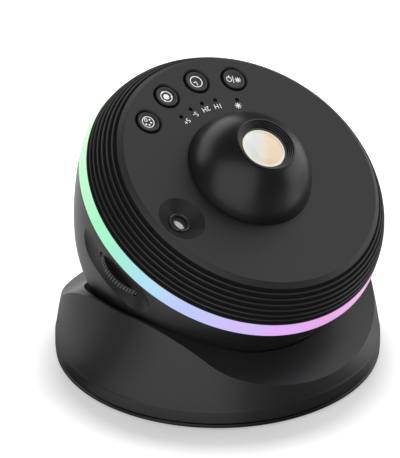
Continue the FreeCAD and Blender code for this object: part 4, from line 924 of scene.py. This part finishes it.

# %% [markdown]
# The shoulder of the upper shell has seven broad grooves all the way round, and between two
# grooves stands a narrow rib with rounded edges, which catches its own thin highlight, made
# brighter by a painted highlight on its top. The ribs are part of the outline, so the lathe
# makes them all at once.

# %% Grooved shoulder
FACE_HEIGHT = 35.2
FACE_RADIUS = 54.2
SHOULDER_FOOT = 63.5
# how far the surface leans from the head's axis at the band's lower and upper end, in degrees
BAND_LOW_LEAN = 84
BAND_HIGH_LEAN = 38
BAND_SPREAD = math.radians(BAND_LOW_LEAN - BAND_HIGH_LEAN)
GROOVES = 7
GROOVE_DEPTH = 1.1
# half width of a groove and width of its wall, as shares of the step
GROOVE_HALF = 0.4
GROOVE_WALL = 0.14
RIB_POINTS = (0, 0.09, 0.13, 0.16, 0.19, 0.24, 0.5, 0.76, 0.81, 0.84, 0.87, 0.91)


def shoulder_arc():
    """Centre and radius of the arc that the tops of the ribs lie on."""
    chord = math.hypot(FACE_HEIGHT - RING_HIGH, SHOULDER_FOOT - FACE_RADIUS)
    radius = chord / 2 / math.sin(BAND_SPREAD / 2)
    return (FACE_RADIUS - radius * math.sin(math.radians(BAND_HIGH_LEAN)),
            FACE_HEIGHT - radius * math.cos(math.radians(BAND_HIGH_LEAN))), radius


def shoulder():
    """Outline of the grooved band from the light ring up to the face."""
    centre, radius = shoulder_arc()
    points = []
    step = BAND_SPREAD / (GROOVES + 1)
    for index in range(GROOVES + 1):
        start = math.radians(90 - BAND_LOW_LEAN) + step * index
        for share in RIB_POINTS:
            angle = start + step * share
            fall = min(max((GROOVE_HALF - abs(share - 0.5)) / GROOVE_WALL, 0), 1)
            depth = GROOVE_DEPTH * fall * fall * (3 - 2 * fall) if index < GROOVES else 0
            points.append((centre[0] + (radius - depth) * math.cos(angle),
                           centre[1] + (radius - depth) * math.sin(angle)))
    return points


print("shoulder points", len(shoulder()))

# %% [markdown]
# The face and its shoulder are one moulding. In the depth of the grooves the plastic is
# rougher, and it is painted darker there as painted shade; the ribs' tops are painted paler
# as a painted highlight. How deep a point lies is its distance from the centre of the
# shoulder's arc, and a second mask leaves the flat face as it is.

# %% Ribbed face material
GROOVE_SHADE = 0.15
RIB_HIGHLIGHT = 1.5
GROOVE_ROUGHNESS = 0.95
# depths below the ribs' tops between which roughness, painted shade and painted highlight change
DEEP, SHALLOW = 0.75, 0.1


def blend_value(tree, share, low, high):
    """Value that runs from low to high as share goes from 0 to 1; each may be a socket."""
    return add_node(tree, "Mix", inputs={0: share, 2: low, 3: high}).outputs[0]


def ribbed_face():
    (middle, height), radius = shoulder_arc()
    material = moulded("ribbed_face", (0.018, 0.018, 0.0183), 0.5)
    tree = material.node_tree
    sockets = tree.nodes["Principled BSDF"].inputs
    given_tone, given_roughness = (sockets[name].links[0].from_socket
                                   for name in ("Base Color", "Roughness"))
    split, flat = head_parts(tree)
    reach = length(tree, flat)
    section = add_node(tree, "CombineXYZ", inputs={"X": reach, "Y": split["Z"]})
    depth = add_node(tree, "VectorMath", "DISTANCE", {
        0: section.outputs[0], 1: (middle * MM, height * MM, 0)})
    on_rib = map_range(tree, depth.outputs["Value"], (radius - DEEP) * MM,
                       (radius - SHALLOW) * MM)
    on_face = map_range(tree, reach, (FACE_RADIUS - 0.1) * MM, (FACE_RADIUS - 0.3) * MM)
    # painted shade in the grooves and painted highlight on the ribs' tops
    band_shade_and_highlight = blend_value(tree, on_rib, GROOVE_SHADE, RIB_HIGHLIGHT)
    tone = add_node(tree, "VectorMath", "SCALE", {
        0: given_tone, "Scale": blend_value(tree, on_face, band_shade_and_highlight, 1.0)})
    tree.links.new(tone.outputs[0], sockets["Base Color"])
    band_roughness = blend_value(tree, on_rib, GROOVE_ROUGHNESS, given_roughness)
    tree.links.new(blend_value(tree, on_face, band_roughness, given_roughness),
                   sockets["Roughness"])
    return material


RIBBED_FACE = ribbed_face()
print("face material", RIBBED_FACE.name)

# %% [markdown]
# The face carries four buttons, five light points and a conical mouth for the laser. The
# mouth and each button's hole with its bevel are tools turned on the lathe, so one cut makes
# the hole and its sloping edge together.

# %% Upper shell
WELL = 24
BUTTON_RING = 45.2
BUTTON_RADIUS = 4.9
HOLE = BUTTON_RADIUS + 0.5
HOLE_BEVEL = 0.6
# buttons and light points stand in one row along the face's rim, in steps of a button
ROW_TURN, ROW_STEP = -1.1, 21.6
BUTTON_TURNS = [ROW_TURN + ROW_STEP * place for place in (1.5, 0.5, -0.5, -1.5)]
PINHOLE = 0.95
PINHOLE_RING = 35
PINHOLE_TURNS = [ROW_TURN + ROW_STEP * place for place in (0.725, 0.24, -0.25, -0.745, -1.495)]
LASER = (-43, -4.4)
LASER_FLOOR = 31.9
LASER_THROAT = 4.4
LASER_MOUTH = 10.05
LASER_BORE = 3.6


def upper_shell():
    outline = [(60.5, RING_HIGH + 0.05), (63.4, RING_HIGH + 0.05)] + shoulder()
    outline += [(FACE_RADIUS - 0.05, FACE_HEIGHT), (WELL + 0.4, FACE_HEIGHT),
                (WELL, FACE_HEIGHT - 0.4), (WELL, 33), (51.8, 33), (60.4, 20.5)]
    shell = lathe("top_shell", outline, 256)
    carve(shell, drum("cup_backing", 11.5, 30, 34, *LASER), "UNION")
    for turn in BUTTON_TURNS:
        hole = lathe("hole_tool", [(0, 30), (HOLE, 30), (HOLE, FACE_HEIGHT - HOLE_BEVEL),
                                   (HOLE + 2 * HOLE_BEVEL, FACE_HEIGHT + HOLE_BEVEL),
                                   (0, FACE_HEIGHT + HOLE_BEVEL)], 96)
        hole.data.transform(shift(*around(BUTTON_RING, turn)))
        carve(shell, hole)
    for turn in PINHOLE_TURNS:
        carve(shell, drum("pin_tool", PINHOLE, 30, 40, *around(PINHOLE_RING, turn), 32))
    mouth = lathe("mouth_tool", [(0, LASER_FLOOR), (LASER_THROAT, LASER_FLOOR),
                                 (LASER_MOUTH, FACE_HEIGHT), (10.6, 36), (0, 36)], 128)
    mouth.data.transform(shift(*LASER))
    carve(shell, mouth)
    carve(shell, drum("bore_tool", LASER_BORE, 25, 33, *LASER))
    soften(shell, 0.15)
    into_head(shell)
    finish_piece(shell, "head", ["upper_shell"], RIBBED_FACE)


upper_shell()

# %% [markdown]
# The dome is a hollow ball segment with a foot that drops into the face's well. The hood in
# its top is a short tube whose mouth goes down in four small steps, which on such lenses keep
# stray light off the glass. Both are round about the head's axis.

# %% Dome and lens hood
DOME_BALL = 27
DOME_INNER = 25
DOME_CENTRE = FACE_HEIGHT - 5.5
DOME_FOOT = FACE_HEIGHT + 0.3
HOOD = 12.25
HOOD_TOP = 54.2
HOOD_INNER = 9.3
HOOD_STEPS = 4
HOOD_STEP = 0.6


def dome_point(radius, height):
    return math.sqrt(radius * radius - (height - DOME_CENTRE) ** 2), height


def dome():
    foot = dome_point(DOME_BALL, DOME_FOOT)
    top = (HOOD + 0.05, DOME_CENTRE + math.sqrt(DOME_BALL ** 2 - (HOOD + 0.05) ** 2))
    inner_top = (HOOD + 0.05, DOME_CENTRE + math.sqrt(DOME_INNER ** 2 - (HOOD + 0.05) ** 2))
    inner_foot = dome_point(DOME_INNER, DOME_FOOT + 1)
    outline = [(22.5, DOME_FOOT + 1), (22.5, 30), (23.7, 30), (23.7, DOME_FOOT), foot]
    outline += bend(foot, top, DOME_BALL, 28) + [inner_top]
    outline += bend(inner_top, inner_foot, -DOME_INNER, 16)
    shell = lathe("dome_skin", outline, 224)
    soften(shell, 0.12, angle=40)
    into_head(shell)
    finish_piece(shell, "dome", ["dome_cover"], DOME)


def hood():
    outline = [(HOOD, 45), (HOOD, HOOD_TOP - 0.2), (HOOD - 0.12, HOOD_TOP)]
    step_in = (HOOD - 0.55 - HOOD_INNER) / HOOD_STEPS
    for index in range(HOOD_STEPS + 1):
        radius = HOOD - 0.55 - step_in * index
        height = HOOD_TOP - HOOD_STEP * index
        outline += [(radius + 0.1, height), (radius, height - 0.1)]
        if index < HOOD_STEPS:
            outline.append((radius, height - HOOD_STEP))
    outline += [(HOOD_INNER, 50.55), (11.45, 50.55), (11.45, 45)]
    piece = lathe("hood_skin", outline, 160)
    soften(piece, 0)
    into_head(piece)
    finish_piece(piece, "dome", ["lens_hood"], DOME)


dome()
hood()

# %% [markdown]
# The front lens glows with the lamp behind it, and on that glow are painted: a bright edge
# that is a painted highlight, and a painted reflection, cream right of the middle and a
# paler, cooler left side. The glow is a colour ramp across the lens, and the distance from
# the axis mixes it with the highlight on the edge.

# %% Front lens
LENS_EDGE = (8.6, 51.35)
LENS_TOP = 52.75
LENS_RISE = 1.4
LENS_ACROSS = (0.74, -0.67, 0)
LENS_REACH = 8.7
RIM_HIGHLIGHT_START, RIM_HIGHLIGHT_END = 7.9, 8.5
# colours of the painted reflection across the lens, and of the painted highlight on its edge
LENS_REFLECTION_COLOURS = ((0, (240, 240, 236)), (0.22, (222, 228, 230)), (0.45, (232, 224, 210)),
                (0.62, (238, 211, 180)), (1, (228, 212, 190)))
LENS_RIM_HIGHLIGHT = (244, 240, 230)


def lit_lens():
    material, tree, shader = principled("lit_lens_glass")
    flat = head_parts(tree)[1]
    across = add_node(tree, "VectorMath", "DOT_PRODUCT", {0: flat, 1: LENS_ACROSS})
    share = map_range(tree, across.outputs["Value"], -LENS_REACH * MM, LENS_REACH * MM)
    stops = [(position, from_screen(colour)) for position, colour in LENS_REFLECTION_COLOURS]
    mix = tree.nodes.new("ShaderNodeMix")
    mix.data_type = "RGBA"
    mix.inputs[7].default_value = (*from_screen(LENS_RIM_HIGHLIGHT), 1)
    tree.links.new(map_range(tree, length(tree, flat), RIM_HIGHLIGHT_START * MM, RIM_HIGHLIGHT_END * MM),
                   mix.inputs[0])
    tree.links.new(add_ramp(tree, share, stops), mix.inputs[6])
    tree.links.new(mix.outputs[2], shader.inputs["Emission Color"])
    set_values(material, {"Base Color": (0.03, 0.03, 0.03, 1), "Roughness": 0.08,
                          "Emission Strength": 0.93})
    return material


def front_lens():
    cap = bend(LENS_EDGE, (0.01, LENS_TOP),
               (LENS_EDGE[0] ** 2 + LENS_RISE ** 2) / (2 * LENS_RISE), 16)
    piece = lathe("lens_front", [(0, 47.05), (9.05, 47.05), (9.05, 50.9), LENS_EDGE] + cap, 128)
    soften(piece, 0, angle=60)
    into_head(piece)
    finish_piece(piece, "dome", ["front_lens"], lit_lens())


front_lens()

# %% [markdown]
# The marks are white print: flat rings, discs, strokes and plain timer and speed signs. Those
# on the caps are drawn upright at the origin and then pressed down along Z, so that they
# follow the finger dish. All are turned to be read from the back, where the user stands.

# %% Strokes and discs
DOT = 0.42
PRINT_LIFT = 0.03


def flat_disc(outer, inner=0, x=0, y=0, squash=1):
    deselect()
    bpy.ops.mesh.primitive_circle_add(vertices=48, radius=outer * MM,
                                      fill_type="NOTHING" if inner else "TRIFAN")
    disc = bpy.context.object
    if inner:
        bpy.ops.object.mode_set(mode="EDIT")
        bpy.ops.mesh.select_all(action="SELECT")
        bpy.ops.mesh.extrude_edges_move()
        share = inner / outer
        bpy.ops.transform.resize(value=(share, share, 1), center_override=(0, 0, 0))
        bpy.ops.object.mode_set(mode="OBJECT")
    disc.data.transform(shift(x, y) @ Matrix.Diagonal((1, squash, 1, 1)))
    return disc


def stroke(start, end, width):
    deselect()
    bpy.ops.mesh.primitive_grid_add(x_subdivisions=6, y_subdivisions=2, size=1)
    bar = bpy.context.object
    along = Vector(end) - Vector(start)
    middle = (Vector(end) + Vector(start)) / 2
    bar.data.transform(shift(middle.x, middle.y)
                       @ Matrix.Rotation(math.atan2(along.y, along.x), 4, "Z")
                       @ Matrix.Diagonal(((along.length + width) * MM, width * MM, 1, 1)))
    return bar


def spark(x, y, size, rays=4, width=0.32):
    """Small star of crossed strokes."""
    bars = []
    for index in range(rays):
        angle = math.pi * index / rays
        reach = Vector((math.cos(angle), math.sin(angle))) * size
        bars.append(stroke(Vector((x, y)) - reach, Vector((x, y)) + reach, width))
    return bars


def dots(angles, across, up):
    """Small discs on an oval."""
    return [flat_disc(DOT, 0, across * math.cos(a), up * math.sin(a)) for a in angles]


print("strokes ready")

# %% [markdown]
# Each cap shows what it does: a palette for the colours, a bright ball and its orbit for the
# stars, a clock for the timer, and a lamp and a star for the power. The signs are built from
# the few strokes and discs above, because they are too small for more.

# %% The four signs
def colour_mark():
    """Painter's palette."""
    paints = dots((-0.3, 0.8, 1.9, 3.0), 1.5, 1.3)
    return [flat_disc(2.8, 2.45, 0, 0, 0.95), flat_disc(0.8, 0.5, -0.5, -1.2)] + paints


def star_mark():
    """A bright ball and its orbit."""
    moons = dots((0.4, 2.5, 4.6), 2.35, 2.35)
    return [flat_disc(1.25, 0.05), flat_disc(2.6, 2.25)] + moons


def timer_mark():
    """Clock."""
    return [flat_disc(2.7, 2.32), stroke((0, 0), (0, 1.5), 0.36), stroke((0, 0), (1.1, 0), 0.36)]


def power_mark():
    """Lamp, slash and star."""
    return [flat_disc(1.25, 0.95, 1.9, 0.1), stroke((1.9, -0.7), (1.9, -1.5), 0.34),
            stroke((0.2, -1.5), (0, 1.5), 0.3)] + spark(-1.9, 0, 1.15)


def press_on(mark, cap):
    """Lays a flat mark on the cap below it."""
    mark.data.transform(shift(0, 0, FACE_HEIGHT + 1))
    active(mark)
    modifier = mark.modifiers.new("press", "SHRINKWRAP")
    modifier.target = cap
    modifier.wrap_method = "PROJECT"
    modifier.use_project_z = True
    modifier.use_negative_direction = True
    modifier.use_positive_direction = False
    modifier.offset = PRINT_LIFT * MM
    bpy.ops.object.modifier_apply(modifier=modifier.name)
    return mark


print("marks ready")

# %% [markdown]
# Each button is a round cap with a shallow finger dish and rounded shoulders. Cap and print
# ride on the button's own body, so they sink together when it is pressed.

# %% Buttons
BUTTONS = (("colour_button", colour_mark), ("star_button", star_mark),
           ("timer_button", timer_mark), ("power_button", power_mark))
DISH_RADIUS = 4.1
DISH_DEPTH = 0.5


def button(name, draw_mark, turn):
    rim = (DISH_RADIUS, FACE_HEIGHT)
    dish = bend(rim, (0.01, FACE_HEIGHT - DISH_DEPTH),
                -(DISH_RADIUS ** 2 + DISH_DEPTH ** 2) / (2 * DISH_DEPTH), 10)
    outline = [(0, 32.6), (BUTTON_RADIUS, 32.6), (BUTTON_RADIUS, FACE_HEIGHT - 0.55),
               (BUTTON_RADIUS - 0.15, FACE_HEIGHT - 0.25),
               (BUTTON_RADIUS - 0.45, FACE_HEIGHT - 0.05), rim]
    cap = lathe(name + "_cap", outline + dish, 96)
    soften(cap, 0)
    mark = press_on(join(draw_mark(), name + "_mark"), cap)
    place = shift(*around(BUTTON_RING, turn))
    cap.data.transform(place)
    mark.data.transform(place @ Matrix.Rotation(math.radians(180 + turn), 4, "Z"))
    into_head(cap)
    into_head(mark)
    finish_piece(mark, name, None, PRINT)
    finish_piece(cap, name, [name], BUTTON)


for (name, draw_mark), turn in zip(BUTTONS, BUTTON_TURNS):
    button(name, draw_mark, turn)

# %% [markdown]
# By four of the light points stand the timer's hours and the speed, and by the fifth a small
# star. Blender's own text makes the letters and figures, and it is turned into a mesh before
# it is put in its place.

# %% Timer and speed signs by the light points
MARK_RING = 32.1
SIGN_SIZE = 3.1


def sign(text, turn):
    deselect()
    bpy.ops.object.text_add()
    piece = bpy.context.object
    piece.name = "timer_numeral_" + text[0] + str(round(turn))
    piece.data.body = text
    piece.data.size = SIGN_SIZE * MM
    piece.data.align_x = "CENTER"
    piece.data.align_y = "CENTER"
    bpy.ops.object.convert(target="MESH")
    return piece


def print_on_face(piece, turn):
    """Lays a flat mark just above the face, beside its light point."""
    piece.data.transform(shift(*around(MARK_RING, turn), FACE_HEIGHT + PRINT_LIFT)
                         @ Matrix.Rotation(math.radians(180 + turn), 4, "Z"))
    into_head(piece)
    finish_piece(piece, "head", None, PRINT)


for text, turn in zip(("S+", "S-", "2H", "1H"), PINHOLE_TURNS):
    print_on_face(sign(text, turn), turn)
print_on_face(join(spark(0, 0, 1.3), "light_mark"), PINHOLE_TURNS[-1])
print("marks on the face", len(PINHOLE_TURNS))

# %% [markdown]
# A thin polished ring lies round the laser's window and shows only as two crescents of light.
# It is a torus, because it is a bent wire of one thickness.

# %% Laser rim
LASER_RIM = 4.1
LASER_RIM_WIRE = 0.17
LASER_RIM_HEIGHT = 32.35
RIM_METAL = metal("polished_rim", (0.16, 0.16, 0.16), 0.16)


def laser_rim():
    deselect()
    bpy.ops.mesh.primitive_torus_add(major_radius=LASER_RIM * MM,
                                     minor_radius=LASER_RIM_WIRE * MM,
                                     major_segments=72, minor_segments=12,
                                     location=(LASER[0] * MM, LASER[1] * MM, LASER_RIM_HEIGHT * MM))
    rim = bpy.context.object
    rim.name = "laser_rim"
    bpy.ops.object.transform_apply(location=True)
    soften(rim, 0, angle=60)
    into_head(rim)
    finish_piece(rim, "head", None, RIM_METAL)


laser_rim()
print("laser rim", LASER_RIM)

# %% [markdown]
# A pale painted glint shows to one side of the dark window. It is painted as a
# soft patch on the window: a second Mapping node centres, turns and stretches the head's
# coordinates, so that their length is 1 on the rim of an oval.

# %% Laser window
GLINT = (-0.6, -0.8)
GLINT_TURN = 11
GLINT_SIZE = (1.35, 2.5)
# colours of the dark window and of the painted glint
WINDOW_COLOURS = ((0, (0.008, 0.008, 0.009)), (1, (0.95, 0.95, 0.95)))


def laser_window():
    material, tree, shader = principled("laser_window_glass")
    glint_patch = tree.nodes.new("ShaderNodeMapping")
    glint_patch.vector_type = "TEXTURE"
    glint_patch.inputs["Location"].default_value = (LASER[0] * MM + GLINT[0] * MM,
                                              LASER[1] * MM + GLINT[1] * MM, 0)
    glint_patch.inputs["Rotation"].default_value = (0, 0, math.radians(GLINT_TURN))
    glint_patch.inputs["Scale"].default_value = (GLINT_SIZE[0] * MM, GLINT_SIZE[1] * MM, 1000)
    tree.links.new(head_place(tree), glint_patch.inputs["Vector"])
    # painted glint: a pale oval inside the dark window
    share = map_range(tree, length(tree, glint_patch.outputs["Vector"]), 1.15, 0.75)
    tree.links.new(add_ramp(tree, share, WINDOW_COLOURS), shader.inputs["Base Color"])
    set_values(material, {"Roughness": 0.3, "Specular IOR Level": 0.15})
    return material


LASER_GLASS = laser_window()
print("laser window", LASER_GLASS.name)

# %% [markdown]
# The remaining pieces keep the meshes of the frame: they sit inside or show only through
# gaps. Each gets the finish of its material slot, and two have a finish of their own.

# %% Finishes for the pieces of the frame
NODE_FINISH = {
    "shell_plastic": SHELL, "dome_plastic": DOME, "button_plastic": BUTTON,
    "wheel_plastic": WHEEL, "frame_plastic": FRAME, "rubber_foot": RUBBER, "pad_felt": FELT,
    "white_nylon": NYLON, "light_diffuser": NYLON, "led_white": WHITE_BOARD,
    "board_white": WHITE_BOARD, "board_green": BOARD, "chip_plastic": CHIP, "steel": STEEL,
    "aluminium": ALUMINIUM, "cast_iron": IRON, "brass": BRASS, "chrome_rim": DARK_RIM,
    "window_glass": LENS_GLASS, "lens_glass": LENS_GLASS, "film_glass": LENS_GLASS,
}
OWN_FINISH = {"indicator_pipes": PIPE, "laser_window": LASER_GLASS}
slots = {item["node"]: item["material_slot"] for item in frame["record"]["subparts"]}
for name, node in nodes.items():
    node.data.materials.clear()
    node.data.materials.append(OWN_FINISH.get(name, NODE_FINISH[slots[name]]))
print("finished", len(nodes), "frame pieces")
